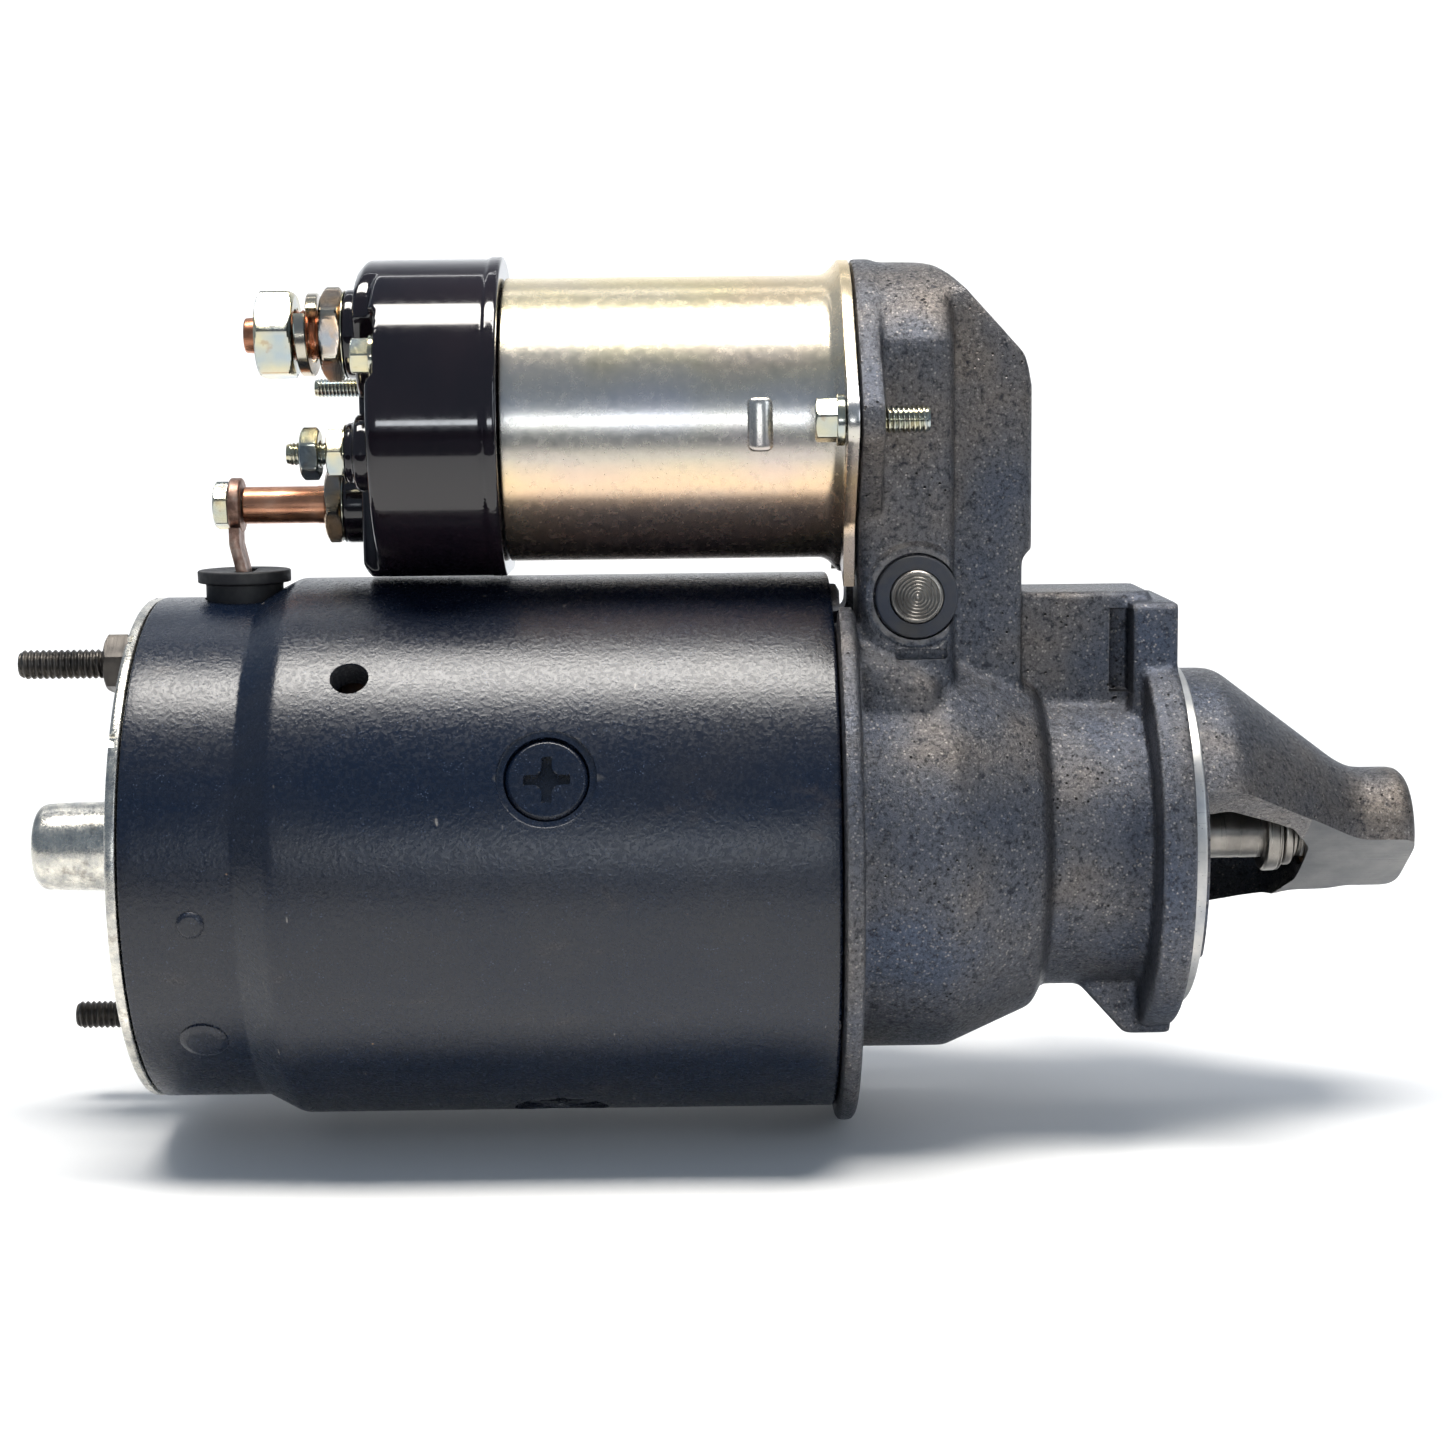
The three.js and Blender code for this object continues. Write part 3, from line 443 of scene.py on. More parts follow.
class Nodes:
    """Short names for the shader nodes that the finishes below share."""

    def __init__(self, name):
        self.material = bpy.data.materials.new(name)
        self.material.use_nodes = True
        self.tree = self.material.node_tree
        self.shader = self.tree.nodes["Principled BSDF"]
        coords = self.tree.nodes.new("ShaderNodeTexCoord")
        self.place = coords.outputs["Object"]

    def feed(self, socket, value):
        """Links a node's output, or sets a number or a colour."""
        if hasattr(value, "is_output"):
            self.tree.links.new(value, socket)
        elif isinstance(value, tuple) and len(value) == 3 and socket.type == "RGBA":
            socket.default_value = (*value, 1)
        else:
            socket.default_value = value

    def set(self, **values):
        for key, value in values.items():
            self.feed(self.shader.inputs[key.replace("_", " ").title().replace("Ior", "IOR")], value)

    def stretched(self, x, y, z):
        node = self.tree.nodes.new("ShaderNodeMapping")
        self.feed(node.inputs["Scale"], (x, y, z))
        self.feed(node.inputs["Vector"], self.place)
        return node.outputs["Vector"]

    def noise(self, scale, detail=3.0, rough=0.55, vector=None, distortion=0.0):
        node = self.tree.nodes.new("ShaderNodeTexNoise")
        for socket, value in (("Scale", scale), ("Detail", detail), ("Roughness", rough),
                              ("Distortion", distortion), ("Vector", vector or self.place)):
            self.feed(node.inputs[socket], value)
        return node.outputs["Fac"]

    def cells(self, scale):
        node = self.tree.nodes.new("ShaderNodeTexVoronoi")
        self.feed(node.inputs["Scale"], scale)
        self.feed(node.inputs["Vector"], self.place)
        return node.outputs["Distance"]

    def spots(self, scale, low, high):
        """Round spots, bright up to low and gone at high."""
        return self.ramp(self.cells(scale), (low, 1.0), (high, 0.0))

    def ramp(self, factor, *stops):
        node = self.tree.nodes.new("ShaderNodeValToRGB")
        while len(node.color_ramp.elements) < len(stops):
            node.color_ramp.elements.new(0.5)
        for element, (position, colour) in zip(node.color_ramp.elements, stops):
            element.position = position
            value = colour if isinstance(colour, tuple) else (colour, colour, colour)
            element.color = (*value, 1)
        self.feed(node.inputs["Fac"], factor)
        return node.outputs["Color"]

    def math(self, operation, one, two=0.0):
        node = self.tree.nodes.new("ShaderNodeMath")
        node.operation = operation
        self.feed(node.inputs[0], one)
        self.feed(node.inputs[1], two)
        return node.outputs[0]

    def times(self, one, two):
        return self.math("MULTIPLY", one, two)

    def mix(self, factor, one, two, blend="MIX"):
        node = self.tree.nodes.new("ShaderNodeMix")
        node.data_type = "RGBA"
        node.blend_type = blend
        for index, value in ((0, factor), (6, one), (7, two)):
            self.feed(node.inputs[index], value)
        return node.outputs[2]

    def bump(self, height, strength, depth, normal=None):
        node = self.tree.nodes.new("ShaderNodeBump")
        self.feed(node.inputs["Strength"], strength)
        self.feed(node.inputs["Distance"], depth * MM)
        self.feed(node.inputs["Height"], height)
        if normal is not None:
            self.feed(node.inputs["Normal"], normal)
        return node.outputs["Normal"]

    def axis(self, name):
        node = self.tree.nodes.new("ShaderNodeSeparateXYZ")
        self.feed(node.inputs["Vector"], self.place)
        return node.outputs[name]

    def edges(self, low, high):
        """Bright on outer edges of a finely meshed piece."""
        node = self.tree.nodes.new("ShaderNodeNewGeometry")
        return self.ramp(node.outputs["Pointiness"], (low, 0.0), (high, 1.0))

    def use_bump(self, normal):
        self.feed(self.shader.inputs["Normal"], normal)


def cast_iron():
    n = Nodes("cast_iron")
    patches = n.noise(30, 3, 0.55)
    grain = n.noise(1250, 5, 0.8)
    lumps = n.noise(560, 4, 0.7)
    base = n.ramp(patches, (0.3, (0.07, 0.088, 0.13)), (0.52, (0.12, 0.122, 0.135)),
                  (0.72, (0.2, 0.172, 0.15)))
    base = n.mix(1.0, base, n.ramp(grain, (0.36, 0.25), (0.5, 0.8), (0.64, 1.0)), "MULTIPLY")
    glints = n.times(n.spots(1250, 0.14, 0.4),
                     n.ramp(n.noise(700, 3, 0.7), (0.46, 0.0), (0.6, 0.5)))
    base = n.mix(glints, base, (0.5, 0.46, 0.42))
    base = n.mix(n.ramp(lumps, (0.32, 0.85), (0.47, 0.0)), base, (0.01, 0.012, 0.019))
    pits = n.spots(560, 0.1, 0.2)
    pits = n.times(pits, n.ramp(n.noise(55, 2), (0.53, 0.0), (0.62, 1.0)))
    base = n.mix(pits, base, (0.006, 0.006, 0.007))
    base = n.mix(n.times(n.edges(0.52, 0.6), 0.4), base, (0.3, 0.28, 0.26))
    n.set(base_color=base, metallic=0.85, roughness=n.ramp(grain, (0.35, 0.5), (0.65, 0.25)),
          specular_ior_level=1.0)
    normal = n.bump(lumps, 0.7, 0.25)
    normal = n.bump(grain, 0.9, 0.26, normal)
    n.use_bump(n.bump(pits, 0.9, -0.5, normal))
    return n.material


def machined_iron(name="machined_iron", low=(0.1, 0.103, 0.11), high=(0.19, 0.188, 0.183)):
    n = Nodes(name)
    lines = n.noise(60, 3, 0.6, n.stretched(0.4, 60, 60))
    grey = n.ramp(n.noise(120, 4, 0.6), (0.3, low), (0.7, high))
    specks = n.spots(900, 0.05, 0.12)
    n.set(base_color=n.mix(specks, grey, (0.08, 0.078, 0.078)), metallic=0.85,
          roughness=n.ramp(lines, (0.3, 0.26), (0.7, 0.42)))
    n.use_bump(n.bump(lines, 0.25, 0.05))
    return n.material


def black_paint():
    n = Nodes("black_paint")
    peel = n.noise(1150, 3, 0.65)
    lumps = n.noise(430, 3, 0.55)
    dust = n.ramp(n.noise(24, 5, 0.65, n.stretched(0.7, 1, 1), 0.4), (0.42, 0.0), (0.75, 1.0))
    base = n.mix(dust, (0.002, 0.006, 0.017), (0.013, 0.014, 0.019))
    glints = n.times(n.spots(1500, 0.1, 0.2),
                     n.ramp(n.noise(300, 2), (0.5, 0.0), (0.65, 0.8)))
    base = n.mix(glints, base, (0.1, 0.13, 0.2))
    smudge = n.ramp(n.noise(34, 4, 0.7, n.stretched(0.6, 1, 2.2), 0.8), (0.6, 0.0), (0.68, 1.0))
    smudge = n.times(smudge, n.ramp(n.noise(190, 4, 0.7), (0.45, 0.0), (0.65, 0.35)))
    base = n.mix(smudge, base, (0.06, 0.048, 0.04))
    scratches = n.ramp(n.noise(190, 1, 0.4, n.stretched(2.6, 1, 0.45)), (0.785, 0.0), (0.8, 1.0))
    scratches = n.times(scratches, n.ramp(n.noise(900, 2), (0.4, 0.0), (0.6, 0.7)))
    chips = n.spots(135, 0.02, 0.034)
    chips = n.times(chips, n.ramp(n.noise(37, 2), (0.56, 0.0), (0.6, 1.0)))
    base = n.mix(scratches, base, (0.26, 0.24, 0.22))
    base = n.mix(chips, base, (0.32, 0.2, 0.12))
    base = n.mix(n.times(n.edges(0.6, 0.7), 0.4), base, (0.1, 0.096, 0.09))
    n.set(base_color=base, metallic=0.0, roughness=n.ramp(peel, (0.35, 0.34), (0.65, 0.18)),
          specular_ior_level=0.5)
    n.use_bump(n.bump(peel, 0.8, 0.12, n.bump(lumps, 0.5, 0.1)))
    return n.material


def cast_zinc():
    n = Nodes("cast_zinc")
    blotch = n.noise(240, 5, 0.7)
    grain = n.noise(1500, 4, 0.7)
    crystals = n.cells(520)
    base = n.ramp(blotch, (0.32, (0.36, 0.36, 0.35)), (0.5, (0.64, 0.61, 0.54)),
                  (0.66, (0.92, 0.87, 0.76)))
    base = n.mix(n.ramp(crystals, (0.2, 0.0), (0.6, 0.3)), base, (0.38, 0.39, 0.39))
    dirt = n.ramp(n.noise(150, 4, 0.7), (0.58, 0.0), (0.72, 0.8))
    base = n.mix(dirt, base, (0.12, 0.1, 0.085))
    n.set(base_color=base, metallic=0.95, roughness=n.ramp(grain, (0.3, 0.16), (0.7, 0.36)))
    n.use_bump(n.bump(grain, 0.5, 0.08, n.bump(blotch, 0.4, 0.12)))
    return n.material


def gold_zinc():
    """Yellow chromate, whose tint drifts at random, under painted light: bands by height paint a dark
    shade at the bottom, then gold, blue-grey, a pale highlight and gold again at the top.
    """
    n = Nodes("gold_zinc")
    drift = n.noise(22, 3, 0.5, n.stretched(0.8, 1.6, 1.6), 0.3)
    mottle = n.noise(520, 4, 0.65)
    tint = n.ramp(drift, (0.28, (0.72, 0.6, 0.7)), (0.42, (0.9, 0.8, 0.6)), (0.52, (0.92, 0.78, 0.42)),
                  (0.64, (0.95, 0.68, 0.5)), (0.78, (0.62, 0.66, 0.8)))
    wobble = n.times(n.math("SUBTRACT", drift, 0.5), 0.14)
    half = 32
    rise = n.math("SUBTRACT", n.axis("Z"), (SOLENOID_Z - half) * MM)
    height = n.math("ADD", n.times(rise, 1 / (2 * half * MM)), wobble)
    # painted reflections and shade by height: a dark shade at the bottom, gold, blue-grey, a pale
    # highlight and gold at the top
    painted_light_band = n.ramp(height, (0.0, (0.1, 0.07, 0.12)), (0.12, (0.24, 0.18, 0.2)),
                  (0.2, (0.75, 0.5, 0.37)), (0.32, (0.78, 0.56, 0.34)), (0.39, (0.42, 0.4, 0.42)),
                  (0.45, (0.4, 0.42, 0.47)), (0.56, (0.44, 0.47, 0.56)), (0.68, (0.5, 0.46, 0.4)),
                  (0.78, (0.9, 0.84, 0.66)), (1.0, (0.88, 0.7, 0.36)))
    base = n.mix(0.72, tint, painted_light_band)
    dull = n.times(n.ramp(mottle, (0.45, 0.0), (0.7, 1.0)), 0.16)
    base = n.mix(dull, base, (0.45, 0.4, 0.36))
    streaks = n.noise(50, 3, 0.6, n.stretched(40, 1, 1))
    n.set(base_color=base, metallic=0.95, roughness=n.ramp(mottle, (0.25, 0.2), (0.8, 0.32)))
    n.use_bump(n.bump(streaks, 0.14, 0.03, n.bump(mottle, 0.15, 0.03)))
    return n.material


def bright_zinc(name="bright_zinc", warm=(0.6, 0.54, 0.34), cool=(0.36, 0.42, 0.44)):
    n = Nodes(name)
    drift = n.noise(120, 2, 0.5)
    specks = n.noise(1600, 4, 0.7)
    stain = n.ramp(n.noise(300, 4, 0.65), (0.58, 0.0), (0.7, 0.55))
    base = n.mix(n.ramp(drift, (0.38, 0.0), (0.6, 1.0)), cool, warm)
    base = n.mix(stain, base, (0.34, 0.22, 0.13))
    base = n.mix(n.edges(0.52, 0.6), base, (0.6, 0.56, 0.45))
    n.set(base_color=base, metallic=1.0, roughness=n.ramp(specks, (0.3, 0.14), (0.75, 0.24)))
    n.use_bump(n.bump(specks, 0.12, 0.03))
    return n.material


def copper():
    n = Nodes("copper")
    drift = n.noise(150, 4, 0.6)
    base = n.ramp(drift, (0.3, (0.3, 0.13, 0.075)), (0.55, (0.56, 0.27, 0.16)),
                  (0.75, (0.7, 0.39, 0.26)))
    rub = n.noise(70, 3, 0.6, n.stretched(1, 14, 14))
    n.set(base_color=base, metallic=0.95, roughness=n.ramp(rub, (0.3, 0.22), (0.7, 0.4)))
    n.use_bump(n.bump(rub, 0.25, 0.05))
    return n.material


def tinned_strap():
    n = Nodes("tinned_strap")
    drift = n.noise(240, 4, 0.65)
    base = n.ramp(drift, (0.35, (0.16, 0.09, 0.065)), (0.5, (0.34, 0.21, 0.16)),
                  (0.7, (0.5, 0.4, 0.33)))
    n.set(base_color=base, metallic=0.85, roughness=n.ramp(n.noise(700, 3), (0.3, 0.32), (0.7, 0.55)))
    n.use_bump(n.bump(n.noise(500, 4, 0.6), 0.4, 0.1))
    return n.material


def steel(name="steel", low=(0.13, 0.12, 0.11), high=(0.34, 0.32, 0.29), rough=(0.26, 0.36)):
    n = Nodes(name)
    oil = n.noise(110, 4, 0.6)
    lines = n.noise(90, 3, 0.6, n.stretched(25, 1, 1))
    n.set(base_color=n.ramp(oil, (0.3, low), (0.7, high)), metallic=0.95,
          roughness=n.ramp(lines, (0.3, rough[0]), (0.7, rough[1])))
    n.use_bump(n.bump(lines, 0.2, 0.03))
    return n.material


def phenolic():
    n = Nodes("phenolic")
    flow = n.noise(45, 3, 0.5)
    base = n.ramp(flow, (0.3, (0.003, 0.002, 0.004)), (0.7, (0.009, 0.005, 0.007)))
    nicks = n.spots(260, 0.015, 0.03)
    nicks = n.times(nicks, n.ramp(n.noise(70, 2), (0.6, 0.0), (0.64, 1.0)))
    base = n.mix(nicks, base, (0.08, 0.06, 0.05))
    n.set(base_color=base, roughness=n.ramp(n.noise(600, 4, 0.6), (0.3, 0.07), (0.75, 0.14)),
          specular_ior_level=0.5, coat_weight=0.3, coat_roughness=0.04)
    n.use_bump(n.bump(n.noise(180, 2, 0.5), 0.12, 0.06))
    return n.material


def rubber(name="rubber", colour=(0.012, 0.012, 0.014)):
    n = Nodes(name)
    dust = n.ramp(n.noise(130, 4, 0.65), (0.45, 0.0), (0.75, 1.0))
    n.set(base_color=n.mix(dust, colour, (0.04, 0.038, 0.036)),
          roughness=n.ramp(n.noise(900, 3), (0.3, 0.45), (0.7, 0.65)), specular_ior_level=0.4)
    n.use_bump(n.bump(n.noise(1300, 4, 0.6), 0.35, 0.05))
    return n.material


def bronze():
    n = Nodes("bronze")
    pores = n.spots(1400, 0.08, 0.16)
    base = n.ramp(n.noise(130, 4, 0.6), (0.3, (0.32, 0.19, 0.08)), (0.7, (0.52, 0.34, 0.16)))
    n.set(base_color=n.mix(pores, base, (0.1, 0.06, 0.03)), metallic=0.9,
          roughness=n.ramp(n.noise(500, 3), (0.3, 0.3), (0.7, 0.5)))
    n.use_bump(n.bump(pores, 0.4, -0.06))
    return n.material


def carbon():
    n = Nodes("carbon")
    grain = n.noise(1500, 4, 0.7)
    n.set(base_color=n.ramp(grain, (0.3, (0.02, 0.018, 0.018)), (0.7, (0.075, 0.05, 0.04))),
          metallic=0.3, roughness=n.ramp(grain, (0.3, 0.45), (0.7, 0.65)))
    n.use_bump(n.bump(grain, 0.3, 0.05))
    return n.material


def winding():
    """Varnished copper wire under dark insulation."""
    n = Nodes("winding")
    wraps = n.noise(60, 3, 0.5, n.stretched(9, 1, 1))
    base = n.ramp(wraps, (0.35, (0.02, 0.012, 0.009)), (0.6, (0.07, 0.035, 0.02)),
                  (0.75, (0.16, 0.07, 0.035)))
    n.set(base_color=base, metallic=0.2, roughness=n.ramp(n.noise(500, 3), (0.3, 0.35), (0.7, 0.6)))
    n.use_bump(n.bump(wraps, 0.6, 0.2))
    return n.material


LOOK = {
    "winding": winding(),
    "cast_iron": cast_iron(),
    "machined": machined_iron(),
    # a lighter copy of the machined iron for the pilot ring: a painted highlight
    "highlit_pilot": machined_iron("highlit_pilot_iron", (0.34, 0.35, 0.37), (0.6, 0.58, 0.54)),
    "black_paint": black_paint(),
    "cast_zinc": cast_zinc(),
    "gold_zinc": gold_zinc(),
    "bright_zinc": bright_zinc(),
    "copper": copper(),
    "strap": tinned_strap(),
    "steel": steel(),
    "old_zinc": bright_zinc("old_zinc", (0.46, 0.32, 0.2), (0.27, 0.27, 0.27)),
    "seal": rubber("seal", (0.022, 0.027, 0.042)),
    "dark_steel": steel("dark_steel", (0.03, 0.028, 0.027), (0.11, 0.1, 0.09), (0.3, 0.5)),
    "phenolic": phenolic(),
    "rubber": rubber(),
    "bronze": bronze(),
    "carbon": carbon(),
}


# ---------------------------------------------------------------- drive housing

RING_REAR = HOUSING.lo[0]
RING_RADIUS = HOUSING.radius
RING_FRONT = RING_REAR + 4
BODY_RADIUS = 45.1
NECK_RADIUS = 32.3
PILOT_RADIUS = 36.6
PILOT_FRONT = 3.0
NOSE_TIP = HOUSING.hi[0]
NOSE_RADIUS = 13.8
FLAT_ANGLE = 53.6
FLAT_DISTANCE = 7.9
FLAT_START = 27.5
PAD_BACK = PAD_X + 4.8
UPPER_HOLE = (0, 44.6)
REAR_HOLE = (45.5, -12)
BOLTS = [Span("through_bolt_upper"), Span("through_bolt_lower")]


def arch(half_width, radius, bottom, steps=28):
    """A tombstone outline in (y, z) round the solenoid axis."""
    lift = math.acos(half_width / radius)
    points = [(-half_width, bottom, 3), (half_width, bottom, 3)]
    for k in range(steps + 1):
        a = lift + (math.pi - 2 * lift) * k / steps
        points.append((radius * math.cos(a), SOLENOID_Z + radius * math.sin(a)))
    return points


def eared(radius, ear_radius, foot, bottom, steps=20):
    """The outline in (y, z) of the solenoid's flange: a disc drawn out to two bolt ears, on a foot."""
    ear = abs(Span("solenoid_screw_front").mid[1])
    lean = math.acos((radius - ear_radius) / ear)

    def arc(y, r, start, end):
        spans = [start + (end - start) * k / steps for k in range(steps + 1)]
        return [(y + r * math.cos(a), r * math.sin(a)) for a in spans]

    right = arc(ear, ear_radius, -lean, lean)
    top = arc(0, radius, lean, math.pi - lean)
    left = arc(-ear, ear_radius, math.pi - lean, math.pi + lean)
    return [(-foot, -22, 6), (-foot + 2, bottom, 2.5), (foot - 2, bottom, 2.5), (foot, -22, 6),
            *right, *top, *left]


def tower_mass():
    outline = [(-70, 10), (-70, 124), (-62, 123, 2), (-49.4, 122.2, 9), (-32, 103, 5), (-30.5, 97, 4),
               (-30.5, 62.8, 1), (-32.7, 61.4, 1), (-32.7, 10)]
    wide = slab("wide", arch(28.2, 32.2, 12), PAD_X + 0.2, -47.5, "x", bevel=3.5, segments=5)
    narrow = slab("narrow", arch(18.5, 31.8, 12), -52, -30.4, "x", bevel=4, segments=5)
    tower = boolean(wide, [narrow], "UNION")
    return boolean(tower, [slab("outline", outline, -40, 40, "y")], "INTERSECT")


def pad_mass():
    pad = slab("pad", eared(32.9, 7.0, 26.5, -46), PAD_X, PAD_BACK, "x", bevel=0.5)
    return moved(pad, z=SOLENOID_Z)


def flange_masses():
    disc = slab("disc", circle(0, 0, 41.6, 96), -7, 0.4, "x", bevel=0.8)
    ear_shape = [(-17, 20), (17, 20), (17, 51.7, 1.5), (-17, 51.7, 1.5)]
    ear = slab("ear", ear_shape, -9.6, 0.4, "x", bevel=0.5)
    foot_shape = [(-20, -30), (-9.6, -41.6, 1.5), (0.4, -41.6), (0.4, -20), (-20, -20)]
    foot = slab("foot", foot_shape, -13, 13, "y", bevel=0.8)
    hole_y, hole_z = REAR_HOLE
    rear = slab("rear", circle(hole_y, hole_z, 9.4, 64), -9.6, 0.4, "x", bevel=0.8)
    web = block("web", (-9.6, 0.4), (20, hole_y), (hole_z - 9.4, hole_z + 9.4), 0.8)
    return [disc, ear, foot, rear, web]


def nose_mass():
    profile = [(-1, 0), (-1, 35.8), (10.6, 35.8, 7), (36.6, 16, 14), (40.5, NOSE_RADIUS, 8),
               (NOSE_TIP - 0.1, NOSE_RADIUS, 3.2), (NOSE_TIP - 0.1, 0)]
    outer = lathe("outer", profile, 128)
    underside = [(-2, 60), (-2, -40), (2.8, -40), (3.2, -20.8), (14, -18.6), (24, -15.8), (30, -14.2),
                 (NOSE_TIP + 1, -13.6), (NOSE_TIP + 1, 60)]
    return boolean(outer, [slab("under", underside, -50, 50, "y")], "INTERSECT")


def flat_cutters():
    """The open side of the nose: cast as far as the boss, and milled flat along the boss."""
    cutters = []
    for x0, x1, distance in ((PILOT_FRONT + 0.6, FLAT_START + 0.5, FLAT_DISTANCE + 0.15),
                             (FLAT_START, NOSE_TIP + 2, FLAT_DISTANCE)):
        cutter = block("flat", (x0, x1), (-60, 60), (-60, -distance))
        cutters.append(turn_to(cutter, Matrix.Rotation(math.radians(-(90 - FLAT_ANGLE)), 4, "X")))
    return cutters


def housing_cavity():
    return lathe("cavity", [
        (-80, 0), (-80, 38), (-45, 38, 3), (-37, 25.5, 6), (4, 25.5, 3), (9.5, 27.3, 3), (20, 21.8, 3),
        (24.5, 19, 4), (29.6, 11, 3), (29.8, 7.2), (48.4, 7.2), (48.4, 0)], 96)


def tower_cavity():
    well_shape = [(-75, 20), (-75, 112), (-53, 112, 6), (-36.5, 96, 8), (-36.5, 20, 4)]
    well = slab("well", well_shape, -12.6, 12.6, "y")
    mouth = moved(rod("mouth", -75, -58, 20.5, 64), z=SOLENOID_Z)
    return [well, mouth]


def lip_slot():
    """The short ledge cast below the pivot."""
    lip = [(-4.6, 41.6, 0.9), (6.3, 41.6, 0.9), (6.3, 43.8, 0.9), (-4.6, 43.8, 0.9)]
    return moved(slab("lip", lip, -40, -26.4, "y"), x=PIVOT.mid[0])


def housing_casting():
    """The whole casting in one rough skin, before anything is machined."""
    ring = rod("ring", RING_REAR, RING_FRONT, RING_RADIUS - 0.1, 160, low=0.5, high=1.2)
    away = slab("away", arch(29.2, 33.6, 48), RING_REAR - 1, PAD_X - 0.1, "x")
    ring = boolean(ring, [away])
    body = lathe("body", [
        (RING_REAR + 1, 0), (RING_REAR + 1, BODY_RADIUS), (-48.6, BODY_RADIUS, 1.4), (-30, 36.9, 2.4),
        (-27.6, NECK_RADIUS, 0.8), (-1, NECK_RADIUS), (-1, 0)], 128)
    bridge = block("bridge", (-34, -5), (-12, 12), (20, 53.6), 1.2)
    bolt_y, bolt_z = BOLTS[1].mid[1:]
    boss = moved(lathe("boss", [(-70, 0), (-70, 8.6), (-57, 8.4, 2), (-57, 0)], 48), y=bolt_y, z=bolt_z)
    swell_shape = [(-70, 20), (-48, 20), (-50, 38, 6), (-64, 44, 6), (-70, 46)]
    swell = slab("swell", swell_shape, -33, 33, "y", bevel=6, segments=4)
    rough = joined("drive_housing", [
        ring, body, tower_mass(), bridge, boss, swell, pad_mass(), *flange_masses(), nose_mass()])
    return cast(rough, 0.85, 7)


def front_cutter():
    """What faces the flange: it leaves the pilot and the nose."""
    face = slab("front_cut", [(-80, -80), (80, -80), (80, 80), (-80, 80)], 0, 12, "x")
    keep_nose = lathe("keep", [(-0.5, 0), (-0.5, PILOT_RADIUS), (PILOT_FRONT, PILOT_RADIUS, 0.5),
                               (PILOT_FRONT, 35.9), (13, 35.9), (13, 0)], 128)
    return boolean(face, [keep_nose])


def pivot_cutters():
    x, z = PIVOT.mid[0], PIVOT.mid[2]
    seat_end = SEAL.hi[1] + 0.3
    shapes = [rod("pivot", -50, 50, 5.7, 48),
              lathe("seat", [(-50, 0), (-50, 9.1), (seat_end, 8.9, 0.4), (seat_end, 0)], 64),
              lathe("recess", [(-50, 0), (-50, 13.5), (-28.6, 11.9, 1), (-27.3, 10.2, 0.6),
                               (-27.2, 0)], 64)]
    return [moved(x_to_y(shape), x=x, z=z) for shape in shapes]


def hole_cutters():
    cutters = []
    for label in ("front", "rear"):
        hole = rod("hole", PAD_X - 1, PAD_BACK + 5, 3.0, 32)
        cutters.append(moved(hole, y=Span(f"solenoid_screw_{label}").mid[1], z=SOLENOID_Z))
    for bolt in BOLTS:
        hole = rod("hole", -75, bolt.hi[0] + 0.3, 3.4, 32)
        cutters.append(on_axis(hole, bolt))
    for y, z in (UPPER_HOLE, REAR_HOLE):
        hole = lathe("hole", [(-19, 0), (-19, 5.1), (-0.8, 5.1), (1, 6.9), (1, 0)], 40)
        cutters.append(moved(hole, y=y, z=z))
    return cutters


def drive_housing():
    casting = housing_casting()
    cuts = [*flat_cutters(), housing_cavity(), *tower_cavity(), lip_slot()]
    for y0, y1 in ((-20, -8.2), (8.2, 20)):
        cuts.append(block("groove", (-13.6, -9.2), (y0, y1), (32.5, 50.2), 1.4, 4))
    cuts.append(front_cutter())
    cuts.append(block("rear_cut", (RING_REAR - 5, RING_REAR), (-80, 80), (-80, 150)))
    boolean(casting, cuts + pivot_cutters() + hole_cutters())
    pilot = lathe("pilot", [
        (-1.5, 28), (-1.5, PILOT_RADIUS), (PILOT_FRONT, PILOT_RADIUS, 0.5), (PILOT_FRONT, 35),
        (PILOT_FRONT - 0.4, 28)], 192, closed=True)
    boolean(casting, [pilot], "UNION")
    obj = show(casting, "cast_iron", "housing", "drive_housing")
    flat_normal = Vector((0, -math.cos(math.radians(FLAT_ANGLE)), -math.sin(math.radians(FLAT_ANGLE))))

    def is_machined(p, normal):
        on_flat = p.x > FLAT_START and normal.dot(flat_normal) > 0.98
        on_face = abs(p.x) < 0.1 and math.hypot(p.y, p.z) > PILOT_RADIUS and normal.x > 0.9
        return on_face or on_flat and abs(p.dot(flat_normal) - FLAT_DISTANCE) < 0.05

    def is_pilot(p, _normal):
        return 0.01 < p.x < PILOT_FRONT + 0.1 and 35.9 < math.hypot(p.y, p.z) < PILOT_RADIUS + 0.1

    paint_where(obj, "machined", is_machined)
    # the pilot ring takes the lighter copy of the machined iron, a painted highlight
    paint_where(obj, "highlit_pilot", is_pilot)


drive_housing()


# ---------------------------------------------------------------- field frame

POLE_ANGLES = [22.5 + 90 * i for i in range(4)]
POLE_X = Span("pole_screw_1").mid[0]
REAR_RADIUS = 53.6


